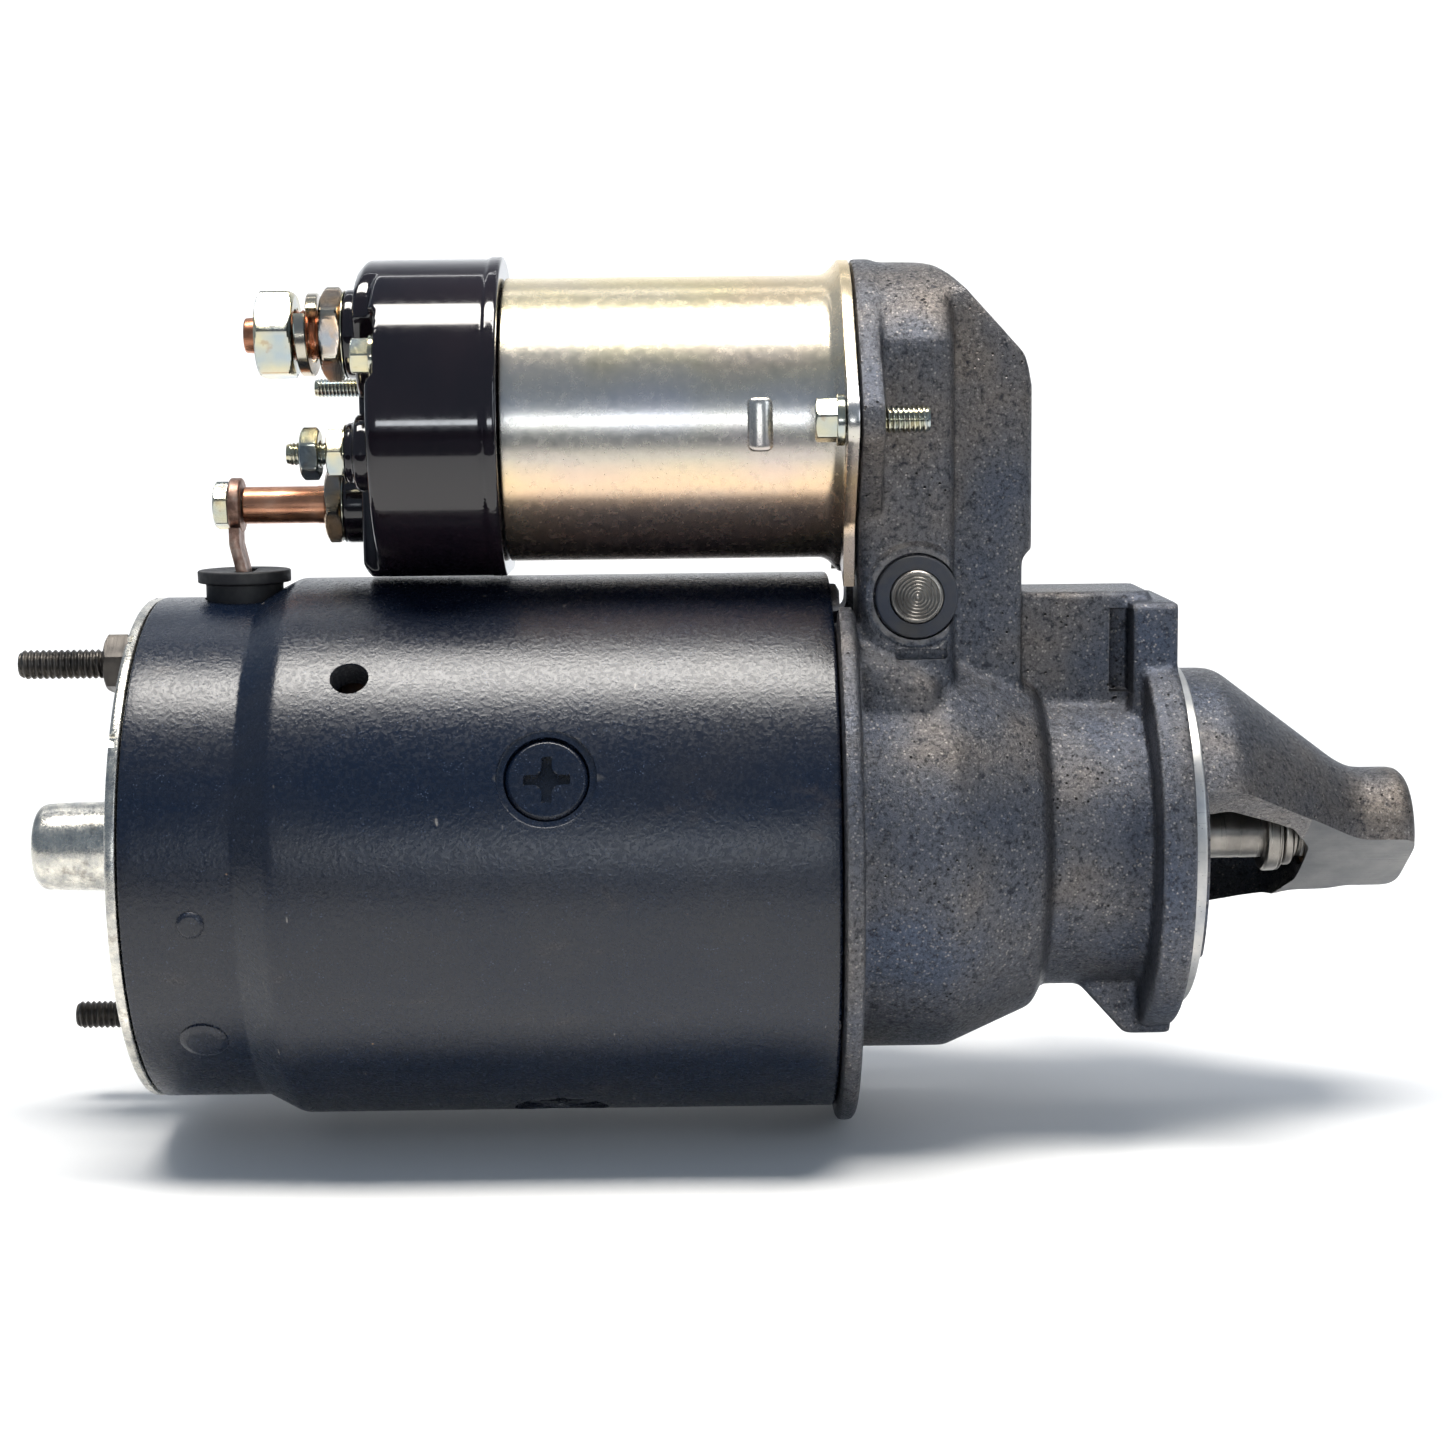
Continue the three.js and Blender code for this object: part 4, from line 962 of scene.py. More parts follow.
def field_frame():
    shell = lathe("field_frame", [
        (FRAME.lo[0], 48.5), (FRAME.lo[0], REAR_RADIUS, 0.5), (-192, REAR_RADIUS, 2.2),
        (-184.6, FRAME.radius, 5), (FRAME.hi[0], FRAME.radius, 0.8), (FRAME.hi[0], 51.2),
        (-182, 51.2, 3), (-189, 48.5, 3)], 320, closed=True, step=2.5)
    cuts = []
    for angle in POLE_ANGLES:
        seat = lathe("seat", [(-62, 0), (-62, 10.1), (-56.5, 9.9, 0.3), (-56.4, 8.5), (-54.6, 8.4),
                              (-52, 5), (-46, 5), (-46, 0)], 96, step=1.5)
        cuts.append(around_x(moved(x_to_y(seat), x=POLE_X), angle))
    hole = x_to_y(lathe("hole", [(-62, 0), (-62, 4.6), (-57, 3.8, 0.4), (-40, 3.8), (-40, 0)], 48))
    cuts.append(around_x(moved(hole, x=-169.5), 45))
    grommet = Span("lead_grommet")
    lead = x_to_z(rod("lead", 40, 62, 8.5, 64))
    cuts.append(moved(lead, x=grommet.mid[0]))
    boolean(shell, cuts)
    show(shell, "black_paint", "housing", "field_frame")


def frame_rivets():
    """Painted-over rivets that hold the brush gear inside the frame."""
    for index, (angle, x, radius, rise) in enumerate(
            ((-6.8, -200.5, 2.8, 0.9), (-37, -200.6, 4.9, 0.7), (173.2, -200.5, 2.8, 0.9),
             (143, -200.6, 4.9, 0.7))):
        base = REAR_RADIUS
        head = x_to_y(lathe("rivet", [
            (-base - rise, 0), (-base - rise, radius * 0.72, 0.4), (-base - rise * 0.25, radius, 0.25),
            (-base + 0.8, radius), (-base + 0.8, 0)], 48))
        rivet = show(around_x(moved(head, x=x), angle), "black_paint", "housing")
        rivet.name = f"frame_rivet_{index + 1}"


def pole_screws():
    for i, angle in enumerate(POLE_ANGLES):
        body = x_to_y(lathe("screw", [
            (-56.1, 0), (-56.1, 7.4, 0.5), (-55.6, 8.1, 0.4), (-54.4, 8.1), (-51.6, 4.6), (-42, 4.5),
            (-41, 3.6), (-41, 0)], 64, step=1.2))
        cross = []
        for turn in range(4):
            spin = Matrix.Rotation(turn * math.pi / 2, 2)
            for u, v, radius in ((4.6, -1.0, 0.3), (4.6, 1.0, 0.3), (1.0, 1.0, 2.6)):
                corner = spin @ Vector((u, v))
                cross.append((corner.x, corner.y, radius))
        boolean(body, [slab("cross", cross, -58, -53.4, "y")])
        screw = around_x(moved(body, x=POLE_X), angle)
        screw.name = f"pole_screw_{i + 1}_detailed"
        show(screw, "black_paint", "housing", f"pole_screw_{i + 1}")


field_frame()
frame_rivets()
pole_screws()


# ---------------------------------------------------------------- commutator end

def end_plate():
    x0, x1 = PLATE.lo[0], PLATE.hi[0]
    face = -217
    inner = FRAME.lo[0] - 0.35
    outline = [
        (x1, 24), (x1, 47.9, 0.3), (inner, 47.9), (inner, 53.5, 0.5), (face, 53.5, 0.9),
        (face, 11.4, 1.2), (face - 1.2, 9.9, 1.0), (x0 + 5, 9.5, 0.5), (x0, 9.2, 4.6), (x0, 0.05),
        (x0 + 2.4, 0.05), (x0 + 2.4, 7.2), (face + 2.8, 7.2), (face + 2.8, 24)]
    plate = lathe("commutator_end_frame", outline, 192, closed=True)
    plug = rod("plug", x0, x0 + 2.4, 0.3, 16)
    boolean(plate, [plug], "UNION")
    cuts = []
    for bolt in BOLTS:
        hole = rod("hole", face - 5, face + 9, 3.5, 32)
        cuts.append(on_axis(hole, bolt))
    for k, depth in enumerate((1.1, 0.7, 0.9)):
        shape = [(50.9 + depth, -1.4, 0.6), (56, -2.2), (56, 1.9), (51.4 + depth, 1.1, 0.6)]
        notch = slab("notch", shape, face - 1, inner - 0.9, "x")
        cuts.append(around_x(notch, 213 + 29 * k))
    boolean(plate, cuts)
    show(plate, "cast_zinc", "housing", "commutator_end_frame")


def through_bolts():
    thread_end = -214.9
    for label, bolt in zip(("upper", "lower"), BOLTS):
        node = f"through_bolt_{label}"
        stud = thread(f"{node}_detailed", bolt.lo[0], thread_end, bolt.radius * 0.985, 1.27, 0.5,
                      tip_low=1.0)
        plain = rod("plain", thread_end - 0.5, bolt.hi[0], 2.9, 32)
        boolean(stud, [plain], "UNION", 50)
        show_at(stud, bolt, "dark_steel", node)
        node = f"through_bolt_nut_{label}"
        box = Span(node)
        made = nut(f"{node}_detailed", box.lo[0], box.hi[0], 11, 3.3, turn=0.2)
        show_at(made, bolt, "dark_steel", node)


end_plate()
through_bolts()


# ---------------------------------------------------------------- lead grommet and strap

def lead_grommet():
    box = Span("lead_grommet")
    strap = Span("field_lead_strap")
    body = x_to_z(lathe("lead_grommet_detailed", [
        (box.lo[2], 0), (box.lo[2], 7.4, 1), (box.lo[2] + 2, 8.15, 1), (56.8, 8.15, 0.5),
        (57.0, 9.8, 0.3), (box.hi[2], 9.85, 0.45), (box.hi[2] - 0.1, 8.9, 0.3),
        (box.hi[2] - 0.5, 0)], 96))
    body = moved(body, x=box.mid[0])
    slot = block("slot", (box.mid[0] - 2.0, box.mid[0] + 2.0), (strap.lo[1] - 0.2, 6.2), (40, 70))
    boolean(body, [slot])
    show(body, "rubber", "housing", "lead_grommet")


def strap_sheet(name, path, y0, y1, thickness):
    """A strip of sheet metal that follows a path in (x, z)."""
    bm = bmesh.new()
    points = rounded(path, False, 8)
    rings = []
    for i, p in enumerate(points):
        ahead = points[min(i + 1, len(points) - 1)] - points[max(i - 1, 0)]
        side = Vector((-ahead.y, ahead.x)).normalized() * thickness / 2
        edge = 0.25
        ring = []
        for y, f in ((y0, 0.6), (y0 + edge, 1), (y1 - edge, 1), (y1, 0.6)):
            ring.append(bm.verts.new((p.x + side.x * f, y, p.y + side.y * f)))
        for y, f in ((y1, 0.6), (y1 - edge, 1), (y0 + edge, 1), (y0, 0.6)):
            ring.append(bm.verts.new((p.x - side.x * f, y, p.y - side.y * f)))
        rings.append(ring)
    skin(bm, rings)
    return finish_mesh(name, bm, 40)


def field_lead_strap():
    box = Span("field_lead_strap")
    stud = Span("motor_stud")
    grommet_x = Span("lead_grommet").mid[0]
    left, right = box.lo[0], box.lo[0] + 2.6
    middle = (left + right) / 2
    eye_z = stud.mid[2]
    eye = on_axis(hoop("eye", left, right, 2.7, 5.9, 64, low=0.5, high=0.5), stud)
    strip = strap_sheet("strip", [
        (middle, eye_z - 4.5), (middle, eye_z - 8, 3), (grommet_x, 57, 5), (grommet_x, 44.5, 1.5),
        (box.hi[0], 44.5)], box.lo[1] + 0.3, 6.0, 2.2)
    obj = joined("field_lead_strap_detailed", [eye, strip])
    show(obj, "strap", "housing", "field_lead_strap", slot="copper")


lead_grommet()
field_lead_strap()


# ---------------------------------------------------------------- solenoid

def pressed_bead():
    """The raised bead pressed in the barrel's front."""
    bead = x_to_z(rod("bead", -5.4, 5.4, 2.6, 48, low=2.4, high=2.4))
    return turn_to(bead, Matrix.Diagonal((1, 0.55, 1, 1)))


def solenoid_case():
    radius = 29.7
    left, right = CASE.lo[0], CASE.hi[0]
    plate_left = right - 2.4
    shell = lathe("solenoid_case_detailed", [
        (left, radius - 1.8), (left, radius, 0.4), (plate_left - 2.6, radius, 3.2),
        (plate_left + 0.2, radius + 3.0, 1.4), (right, radius + 3.0, 0.3), (right, radius - 1.8)],
        256, closed=True, step=2.5)
    plate = slab("plate", eared(32.8, 6.5, 26, -37.8), plate_left, right, "x", bevel=0.3)
    boolean(plate, [moved(rod("ring", -80, -60, RING_RADIUS + 0.7, 128), z=-SOLENOID_Z)])
    boolean(shell, [plate], "UNION")
    bead = moved(pressed_bead(), x=-87, y=-radius + 0.3, z=-0.9)
    boolean(shell, [bead], "UNION", 40)
    tube = moved(rod("tube", -150, -60, FRAME.radius + 0.5, 256), z=-SOLENOID_Z)
    cuts = [rod("bore", -76, -60, 12.4, 64), tube]
    ear = abs(Span("solenoid_screw_front").mid[1])
    for side in (-1, 1):
        cuts.append(moved(rod("hole", -80, -60, 3.1, 32), y=side * ear))
    boolean(shell, cuts)
    show(moved(shell, z=SOLENOID_Z), "gold_zinc", "housing", "solenoid_case")


BATTERY = Span("battery_stud")
MOTOR = Span("motor_stud")
RELAY = Span("relay_stud")
START = Span("start_stud")
JAM_NUT = Span("battery_jam_nut")
MOTOR_NUT = Span("motor_terminal_nut")
RELAY_NUT = Span("relay_inner_nut")
POCKET_FACE = CAP.hi[0] - 24.6
CAP_FACE = POCKET_FACE - 1.6
TERMINAL_FACE = CAP.lo[0] + 5.3
CAP_RADIUS = CAP.radius - 0.5


def terminal_towers():
    """The raised face that carries the studs: a round tower with a boss for each, and a web."""
    towers = []
    root = CAP_FACE + 1.5
    foot = TERMINAL_FACE + 1
    for stud, wide, narrow, nut_face in ((BATTERY, 14.6, 9.2, JAM_NUT.hi[0]),
                                         (MOTOR, 13, 8.3, MOTOR_NUT.hi[0]),
                                         (RELAY, 8, 6.2, RELAY_NUT.hi[0]),
                                         (START, 8, 6.2, RELAY_NUT.hi[0])):
        tower = rod("tower", TERMINAL_FACE, root, wide, 96, low=1.2)
        boss = rod("boss", nut_face + 0.3, foot, narrow, 96, low=0.5)
        towers += [on_axis(tower, stud, SOLENOID_Z), on_axis(boss, stud, SOLENOID_Z)]
    web_shape = [(-13.5, -40), (13.5, -40), (14, 40), (-14, 40)]
    web = slab("web", web_shape, TERMINAL_FACE, root, "x", bevel=0.9)
    full = CAP_RADIUS - 0.05
    limit = lathe("limit", [
        (CAP.lo[0], 0), (CAP.lo[0], CAP_RADIUS - 2), (TERMINAL_FACE, CAP_RADIUS - 2),
        (TERMINAL_FACE + 1.8, full, 1.6), (-150, full), (-150, 0)], 192)
    return boolean(boolean(towers[0], towers[1:] + [web], "UNION"), [limit], "INTERSECT")


def solenoid_cap():
    radius, right = CAP_RADIUS, CAP.hi[0]
    body = lathe("body", [
        (CAP_FACE, 0), (CAP_FACE, radius, 1.6), (right - 2.6, radius),
        (right - 2.6, radius + 0.45, 0.3), (right, radius + 0.45, 0.5), (right, 0)], 192)
    boolean(body, [terminal_towers()], "UNION")
    pockets = []
    for side, z in ((-1, 15.5), (1, -15.5)):
        pocket = lathe("pocket", [
            (-180, 0), (-180, 8.8), (POCKET_FACE, 8.2, 1.2), (POCKET_FACE, 0)], 64)
        pockets.append(moved(pocket, y=26.6 * side, z=z))
    obj = boolean(body, pockets)
    obj.name = "solenoid_cap_detailed"
    cast(obj, 0.42, 3)
    flat = block("flat", (-180, -130), (-40, 40), (-44, -32))
    inside = rod("inside", -158, -130, 25.6, 96)
    inner = rod("inner", -162, -150, 22, 64)
    cuts = [flat, boolean(inside, [inner], "UNION")]
    for stud, bore in ((BATTERY, 5.5), (MOTOR, 4.3), (RELAY, 2.7), (START, 2.4)):
        cuts.append(on_axis(rod("hole", -180, -155, bore, 48), stud, SOLENOID_Z))
    for label in ("front", "rear"):
        hole = rod("hole", -176, -140.5, 2.2, 48)
        cuts.append(on_axis(hole, Span(f"cap_screw_{label}"), SOLENOID_Z))
    boolean(obj, cuts, angle=38)
    show(moved(obj, z=SOLENOID_Z), "phenolic", "housing", "solenoid_cap")


def cap_screws():
    seat = POCKET_FACE - 0.1
    for label in ("front", "rear"):
        node = f"cap_screw_{label}"
        box = Span(node)
        head = hex_head(f"{node}_detailed", box.lo[0], -165.3, 7, turn=0.5)
        washer = rod("washer", -165.5, seat, 4.3, 48, low=0.2, high=0.2)
        shank = rod("shank", seat - 0.5, box.hi[0], 1.9, 24)
        boolean(head, [washer, shank], "UNION", 24)
        show_at(head, box, "bright_zinc", node)


def mount_screws():
    seat = CASE.hi[0] - 2.7
    for label in ("front", "rear"):
        node = f"solenoid_screw_{label}"
        box = Span(node)
        head = hex_head(f"{node}_detailed", box.lo[0], -72, 8, turn=0.28)
        washer = rod("washer", -72.2, seat, 5.1, 64, low=0.3, high=0.3)
        boolean(head, [washer], "UNION", 24)
        shank = thread("shank", seat - 0.4, box.hi[0], 2.8, 1.0, 0.38, tip_low=0, tip_high=0.9)
        obj = joined(f"{node}_detailed", [head, shank])
        show_at(obj, box, "bright_zinc", node)


solenoid_case()
solenoid_cap()
cap_screws()
mount_screws()


# ---------------------------------------------------------------- terminals

def hexagon_nut(node, stud, look, across_flats, bore, turn):
    """The detailed nut for a node, on the axis of its stud; the turn is in degrees."""
    box = Span(node)
    made = nut(f"{node}_detailed", box.lo[0], box.hi[0], across_flats, bore, turn=math.radians(turn))
    show_at(made, stud, look, node, slot="bright_zinc")


def battery_terminal():
    tip, end = BATTERY.lo[0], BATTERY.hi[0]
    point = lathe("tip", [(tip, 0), (tip, 3.6, 0.4), (tip + 2.6, 3.75, 0.5), (tip + 3, 0)], 64)
    body = thread("body", tip + 2.3, end - 2.4, 5.2, 1.27, 0.55, tip_low=0.8, segments=40)
    head = rod("head", end - 2.5, end, 5.9, 48, high=0.3)
    stud = joined("battery_stud_detailed", [boolean(point, [head], "UNION"), body])
    show_at(stud, BATTERY, "copper", "battery_stud")
    hexagon_nut("battery_nut", BATTERY, "bright_zinc", 17.1, 5.4, 24)
    hexagon_nut("battery_jam_nut", BATTERY, "old_zinc", 17.1, 5.4, 1)
    lock = Span("battery_lock_washer")
    washer = split_washer("battery_lock_washer_detailed", lock.lo[0], lock.hi[0], 8.6, 5.7, 2.4, 0.16,
                          start=math.radians(150))
    show_at(washer, BATTERY, "old_zinc", "battery_lock_washer", slot="bright_zinc")


def motor_terminal():
    tip, end = MOTOR.lo[0], MOTOR.hi[0]
    sleeve = lathe("motor_stud_detailed", [
        (tip, 2.7), (tip, 3.95, 0.35), (-181, 3.95), (-181, 4.05), (end - 2.4, 4.05), (end - 2.4, 6.7),
        (end, 6.7, 0.3), (end, 0), (-170, 0), (-170, 2.7)], 96)
    show_at(sleeve, MOTOR, "copper", "motor_stud")
    hexagon_nut("motor_terminal_nut", MOTOR, "old_zinc", 15, 4.2, 38)
    screw = Span("motor_terminal_screw")
    head = hex_head("motor_terminal_screw_detailed", screw.lo[0], -200.1, 9.2, turn=math.radians(12))
    shank = rod("shank", -200.4, screw.hi[0], 2.2, 32)
    boolean(head, [shank], "UNION", 24)
    show_at(head, MOTOR, "bright_zinc", "motor_terminal_screw")


def small_terminals():
    for stud, node, radius in ((RELAY, "relay_stud", 2.35), (START, "start_stud", 2.1)):
        made = thread(f"{node}_detailed", stud.lo[0], stud.hi[0], radius, 0.8, 0.32, tip_low=1.3,
                      segments=24)
        show_at(made, stud, "bright_zinc", node)
    for node, turn in (("relay_outer_nut", 5), ("relay_inner_nut", 24)):
        hexagon_nut(node, RELAY, "bright_zinc", 9.5, 2.6, turn)
    for stud, face, radius, bore, name in ((RELAY, RELAY_NUT.hi[0], 5.9, 2.8, "relay_washer"),
                                           (MOTOR, MOTOR_NUT.hi[0], 8.2, 4.4, "motor_washer"),
                                           (BATTERY, JAM_NUT.hi[0], 9.1, 5.6, "battery_washer")):
        disc = hoop(name, face - 0.02, face + 0.26, bore, radius, 64, low=0.1, high=0.1)
        show_at(disc, stud, "bright_zinc")


battery_terminal()
motor_terminal()
small_terminals()


# ---------------------------------------------------------------- pivot

def pivot():
    y = PIVOT.lo[1]
    grooves = [(y + 0.1, 0.0)]
    for k in range(1, 14):
        r = k * 0.36
        grooves += [(y + (0.02 if k % 2 else 0.34), r, 0.06)]
    corners = grooves + [(y + 0.1, 4.9), (y, 5.1, 0.1), (y + 0.3, 5.4, 0.2), (PIVOT.hi[1], 5.4, 0.4),
                         (PIVOT.hi[1], 0)]
    pin = x_to_y(lathe("lever_pivot_pin_detailed", corners, 96))
    show(moved(pin, x=PIVOT.mid[0], z=PIVOT.mid[2]), "steel", "housing", "lever_pivot_pin")
    ring = x_to_y(hoop("pivot_seal_detailed", SEAL.lo[1], SEAL.hi[1], 5.6, 8.45, 96, low=0.5, high=0.2))
    show(moved(ring, x=PIVOT.mid[0], z=PIVOT.mid[2]), "seal", "housing", "pivot_seal",
         slot="rubber")


pivot()


# ---------------------------------------------------------------- shaft and drive

def star(teeth, shape):
    """A toothed outline: each tooth is given by (part of a pitch, radius, rounding) corners."""
    points = []
    for i in range(teeth):
        for part, radius, corner in shape:
            a = (i + part) * 2 * math.pi / teeth
            points.append((radius * math.cos(a), radius * math.sin(a), corner))
    return points


def armature_shaft():
    box = Span("armature_shaft")
    journal = 5.6
    body = lathe("armature_shaft_detailed", [
        (box.lo[0], 0), (box.lo[0], 4.6, 0.2), (-236.6, journal, 0.3), (-212, journal, 0.4),
        (-212, 7.5, 0.4), (-180.5, 7.5), (-180.5, 8.5, 0.4), (-88, 8.5, 0.5), (-86, 6.1, 0.4),
        (-26, 6.1, 0.3), (-25.6, journal),
        (28.4, journal), (28.8, 5.3, 0.2), (29.6, 5.3, 0.2), (30, journal), (46.6, journal, 0.3),
        (box.hi[0], 4.7, 0.3), (box.hi[0], 0)], 96)
    teeth = star(10, ((-0.3, 5.9, 0), (-0.22, 6.78, 0.2), (0.22, 6.78, 0.2), (0.3, 5.9, 0)))
    boolean(body, [slab("splines", teeth, -86.5, -25.8, "x", bevel=0.2)], "UNION")
    show(body, "steel", "armature", "armature_shaft")


def stop_rings():
    collar = Span("pinion_stop_collar")
    x0, x1 = collar.lo[0], collar.hi[0]
    body = lathe("pinion_stop_collar_detailed", [
        (x0, 5.9), (x0, 8.0, 0.6), (x0 + 0.5, 8.5, 0.4), (x1 - 0.9, 8.5, 0.3), (x1 - 0.8, 8.1, 0.1),
        (x1 - 0.45, 8.1, 0.1), (x1 - 0.4, 8.4, 0.2), (x1, 8.2, 0.4), (x1, 5.9)], 96, closed=True)
    show(body, "steel", "armature", "pinion_stop_collar")
    snap = Span("stop_snap_ring")
    ring = hoop("stop_snap_ring_detailed", snap.lo[0], snap.hi[0], 5.9, 7.35, 96, low=0.9, high=0.9)
    show(ring, "steel", "armature", "stop_snap_ring")


def drive_pinion():
    box = Span("pinion")
    tooth = ((-0.36, 9.7, 0.6), (-0.24, 11.4, 0.4), (-0.1, 13.9, 0.4), (0.1, 13.9, 0.4),
             (0.24, 11.4, 0.4), (0.36, 9.7, 0.6))
    gear = slab("pinion_detailed", star(9, tooth), -13, box.hi[0], "x", bevel=0.5, segments=3)
    hub = rod("hub", box.lo[0], -12.6, 11.9, 96, low=0.6, high=0.5)
    boolean(gear, [hub], "UNION")
    bore = lathe("bore", [(-30, 0), (-30, 5.85), (1.2, 5.85), (2.4, 6.9), (2.4, 0)], 64)
    boolean(gear, [bore])
    show(gear, "steel", "pinion", "pinion")


def drive_clutch():
    box = Span("overrunning_clutch")
    x0, x1 = box.lo[0], box.hi[0]
    body = lathe("overrunning_clutch_detailed", [
        (x0, 7.2), (x0, 10.3, 0.5), (-46, 10.3, 1.2), (-46, 20, 0.6), (-44.5, 21.4, 0.6),
        (-38.4, 21.4, 0.2), (-38, 21.0, 0.1), (-37.4, 21.0, 0.1), (-37, 21.4, 0.2),
        (-27.2, 21.4, 1.4), (x1, 19.5, 0.5), (x1, 7.2)], 128, closed=True)
    show(body, "steel", "drive", "overrunning_clutch")
    collar = Span("shift_collar")
    middle = collar.mid[0]
    groove = lathe("shift_collar_detailed", [
        (collar.lo[0], 10.8), (collar.lo[0], 17.9, 0.5), (middle - 3.9, 17.9, 0.4),
        (middle - 3.9, 14.1, 0.4), (middle + 3.9, 14.1, 0.4), (middle + 3.9, 17.9, 0.4),
        (collar.hi[0], 17.9, 0.5), (collar.hi[0], 10.8)], 96, closed=True)
    show(groove, "steel", "drive", "shift_collar")


armature_shaft()
stop_rings()
drive_pinion()
drive_clutch()


# ---------------------------------------------------------------- CAD nodes that keep their shape

WINDINGS = ("field_coils", "armature_windings", "solenoid_winding")


def dress_cad_nodes():
    """Every CAD node that stays visible takes the procedural look of its slot."""
    slots = {s["node"]: s["material_slot"] for s in frame["record"]["subparts"]}
    for name, obj in frame["nodes"].items():
        look = LOOK["winding"] if name in WINDINGS else LOOK[slots[name]]
        if not obj.data.materials:
            obj.data.materials.append(look)
        for i in range(len(obj.data.materials)):
            obj.data.materials[i] = look


dress_cad_nodes()


# ---------------------------------------------------------------- floor, light and camera

def studio():
    floor_z = CAD_BOUNDS[0].z - 0.0005
    bm = bmesh.new()
    depth, width, height, bend = 1.6, 3.0, 2.4, 0.5
    profile = [(-1.6, floor_z), (depth - bend, floor_z)]
    for k in range(1, 13):
        a = math.pi / 2 * k / 12
        profile.append((depth - bend + bend * math.sin(a), floor_z + bend - bend * math.cos(a)))
    profile.append((depth, floor_z + height))
    rows = [[bm.verts.new((x, y, z)) for y, z in profile] for x in (-width, width)]
    for k in range(len(profile) - 1):
        bm.faces.new((rows[0][k], rows[1][k], rows[1][k + 1], rows[0][k + 1]))
    floor = placed("floor", bm)
    n = Nodes("pale_floor")
    grain = n.ramp(n.noise(9, 2), (0.0, (0.86, 0.86, 0.86)), (1.0, (0.9, 0.9, 0.9)))
    n.set(base_color=grain, roughness=0.6)
    floor.data.materials.append(n.material)
    shade(floor)
    # a dark sheet seen only in reflections: painted shade
    reflection_shade_card(floor_z)
    surround(floor_z)


def reflection_shade_card(floor_z):
    """A dark sheet on the floor in front of the part, seen only in reflections: painted shade in what
    the part reflects of the floor.
    """
    bm = bmesh.new()
    corners = [(-1.5, -1.6), (1.5, -1.6), (1.5, -0.37), (-1.5, -0.37)]
    bm.faces.new([bm.verts.new((x, y, floor_z + 0.002)) for x, y in corners])
    card = placed("reflection_shade_card", bm)
    n = Nodes("painted_reflection_shade")
    grain = n.ramp(n.noise(9, 2), (0.0, (0.02, 0.03, 0.05)), (1.0, (0.03, 0.04, 0.06)))
    n.set(base_color=grain, roughness=0.8)
    card.data.materials.append(n.material)
    for ray in ("visible_camera", "visible_shadow", "visible_diffuse"):
        setattr(card, ray, False)


def surround(floor_z):
    """A pale glow that the floor fades into all round, which lights nothing and is not reflected."""
    inner, radius, bend, height = 0.3, 1.5, 0.4, 2.2
    profile = [(inner, 0.001), (radius - bend, 0.001)]
    for k in range(1, 9):
        a = math.pi / 2 * k / 8
        profile.append((radius - bend + bend * math.sin(a), bend - bend * math.cos(a) + 0.001))
    profile.append((radius, height))
    bm = bmesh.new()
    rows = []
    for k in range(97):
        a = 2 * math.pi * k / 96
        rows.append([bm.verts.new((r * math.cos(a), r * math.sin(a), floor_z + z)) for r, z in profile])
    for one, two in zip(rows, rows[1:]):
        for k in range(len(profile) - 1):
            bm.faces.new((one[k], two[k], two[k + 1], one[k + 1]))
    wall = placed("surround", bm)
    n = Nodes("pale_wall")
    x, y = n.axis("X"), n.axis("Y")
    square = n.math("ADD", n.times(x, x), n.times(y, y))
    grain = n.ramp(n.noise(9, 2), (0.0, (0.1, 0.1, 0.1)), (1.0, (0.12, 0.12, 0.12)))
    distance = n.ramp(square, (0.12, 0.0), (0.3, 0.5), (0.8, 1.0))
    n.set(base_color=grain, roughness=0.8, alpha=distance, emission_color=(1, 1, 1, 1),
          emission_strength=1.0)
    wall.data.materials.append(n.material)
    shade(wall)
    for ray in ("visible_diffuse", "visible_glossy", "visible_shadow", "visible_transmission"):
        setattr(wall, ray, False)


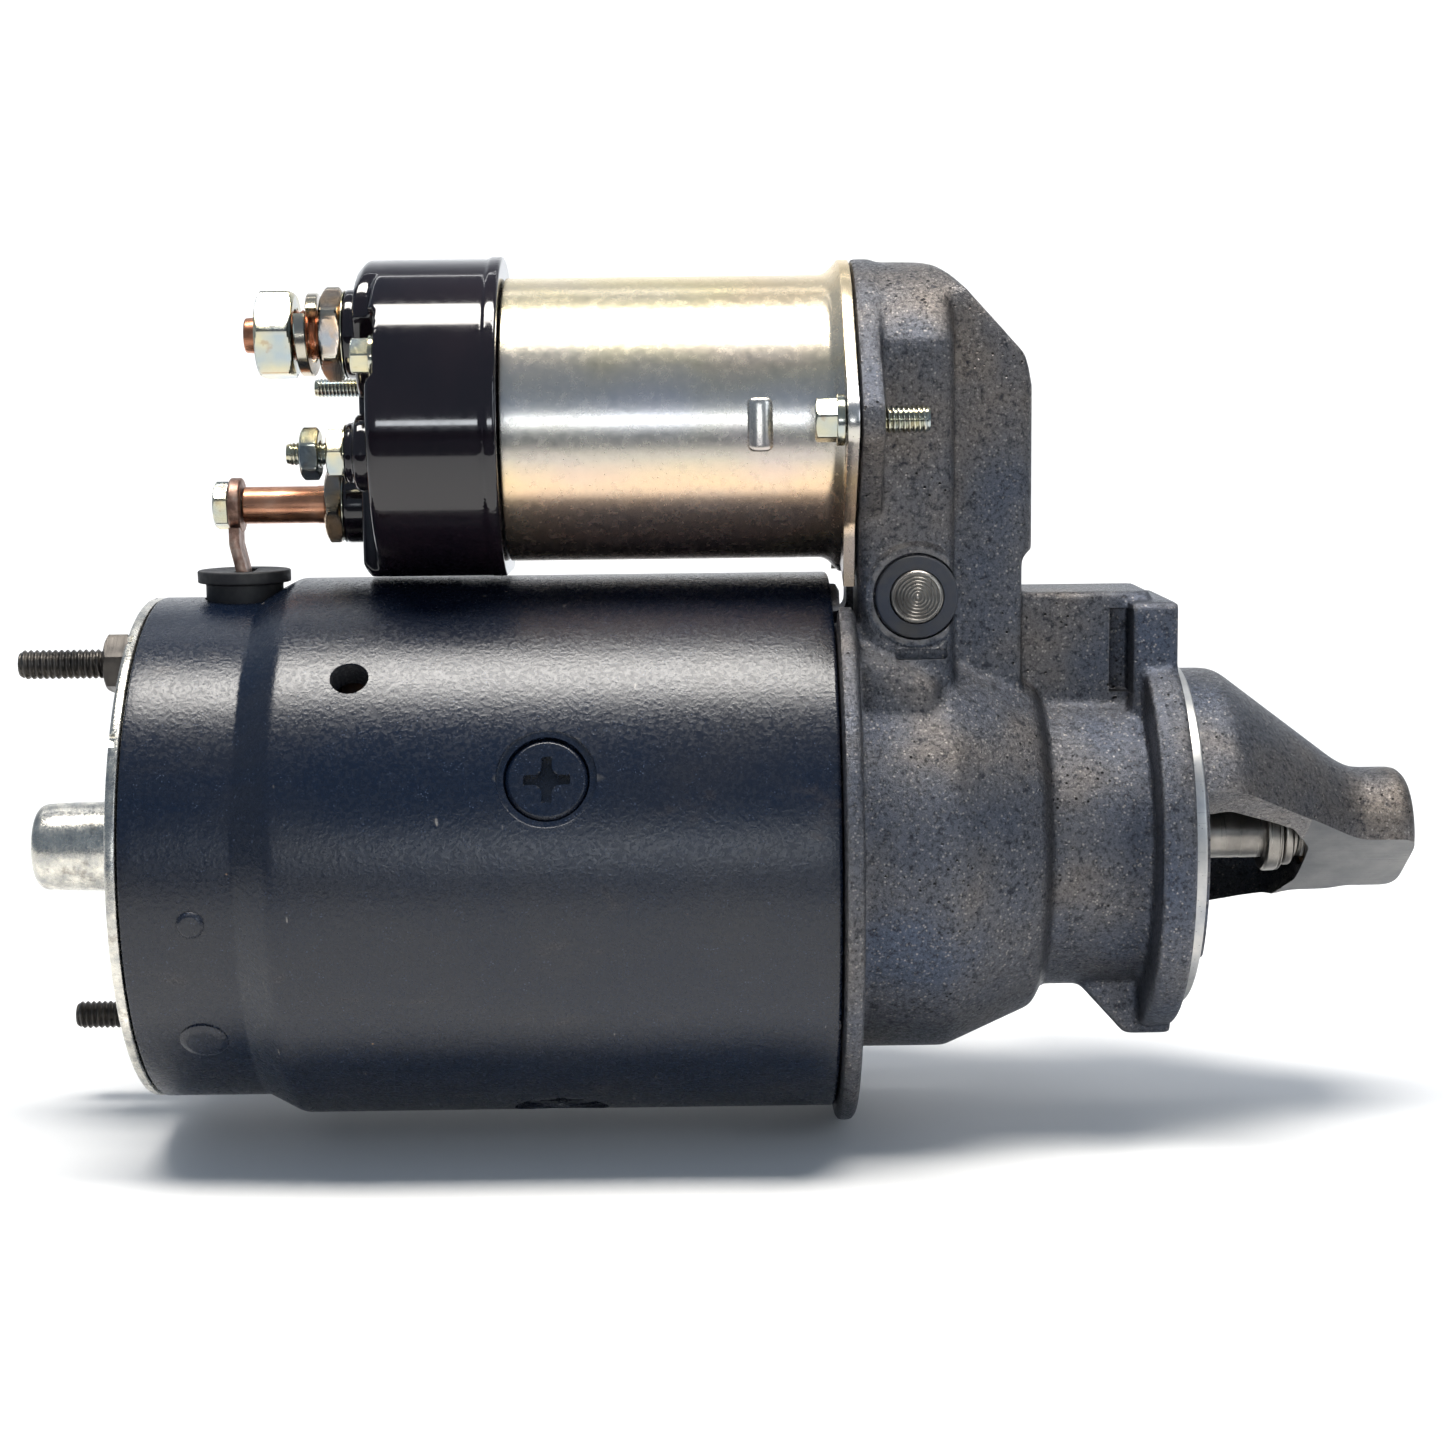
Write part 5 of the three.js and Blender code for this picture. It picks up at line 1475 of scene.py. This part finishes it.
def area_light(name, location, target, size, power, colour=(1, 1, 1)):
    data = bpy.data.lights.new(name, "AREA")
    data.shape = "RECTANGLE"
    data.size, data.size_y = size
    data.energy = power
    data.color = colour
    lamp = bpy.data.objects.new(name, data)
    lamp.location = location
    lamp.rotation_euler = (Vector(target) - Vector(location)).to_track_quat("-Z", "Y").to_euler()
    bpy.context.scene.collection.objects.link(lamp)


def lights():
    centre = (-0.095, 0, 0.03)
    area_light("overhead", (-0.1, -0.12, 0.75), (-0.095, -0.02, 0.03), (0.75, 0.22), 11,
               (1, 0.965, 0.91))
    area_light("side", (0.55, -0.75, 0.3), centre, (0.3, 0.5), 1.3, (0.86, 0.93, 1))
    area_light("front", (-0.12, -0.8, 0.09), (-0.1, 0, 0.09), (0.3, 0.05), 0.55, (0.92, 0.96, 1))
    area_light("back", (-0.1, 0.55, 0.9), (-0.1, 1.3, 0.3), (1.6, 0.5), 14)
    world = bpy.data.worlds.new("studio")
    world.use_nodes = True
    sky = world.node_tree.nodes["Background"].inputs
    sky["Color"].default_value = (0.62, 0.78, 1, 1)
    sky["Strength"].default_value = 0.3
    bpy.context.scene.world = world


def camera():
    """A side view from slightly above, with the nose to the right."""
    place = (-0.0996, -0.5471, 0.0993)
    azimuth, elevation, roll = (math.radians(a) for a in (-0.48, 7.7, -0.65))
    level = math.cos(elevation)
    ahead = Vector((-math.sin(azimuth) * level, math.cos(azimuth) * level, -math.sin(elevation)))
    right = ahead.cross(Vector((0, 0, 1))).normalized()
    up = right.cross(ahead)
    rolled_right = right * math.cos(roll) + up * math.sin(roll)
    rolled_up = up * math.cos(roll) - right * math.sin(roll)
    data = bpy.data.cameras.new("camera")
    data.sensor_width = 36
    data.lens = 63.8
    obj = bpy.data.objects.new("camera", data)
    basis = Matrix((rolled_right, rolled_up, -ahead)).transposed()
    obj.matrix_world = Matrix.Translation(place) @ basis.to_4x4()
    bpy.context.scene.collection.objects.link(obj)
    bpy.context.scene.camera = obj


studio()
lights()
camera()
bpy.context.scene.view_settings.view_transform = "Standard"
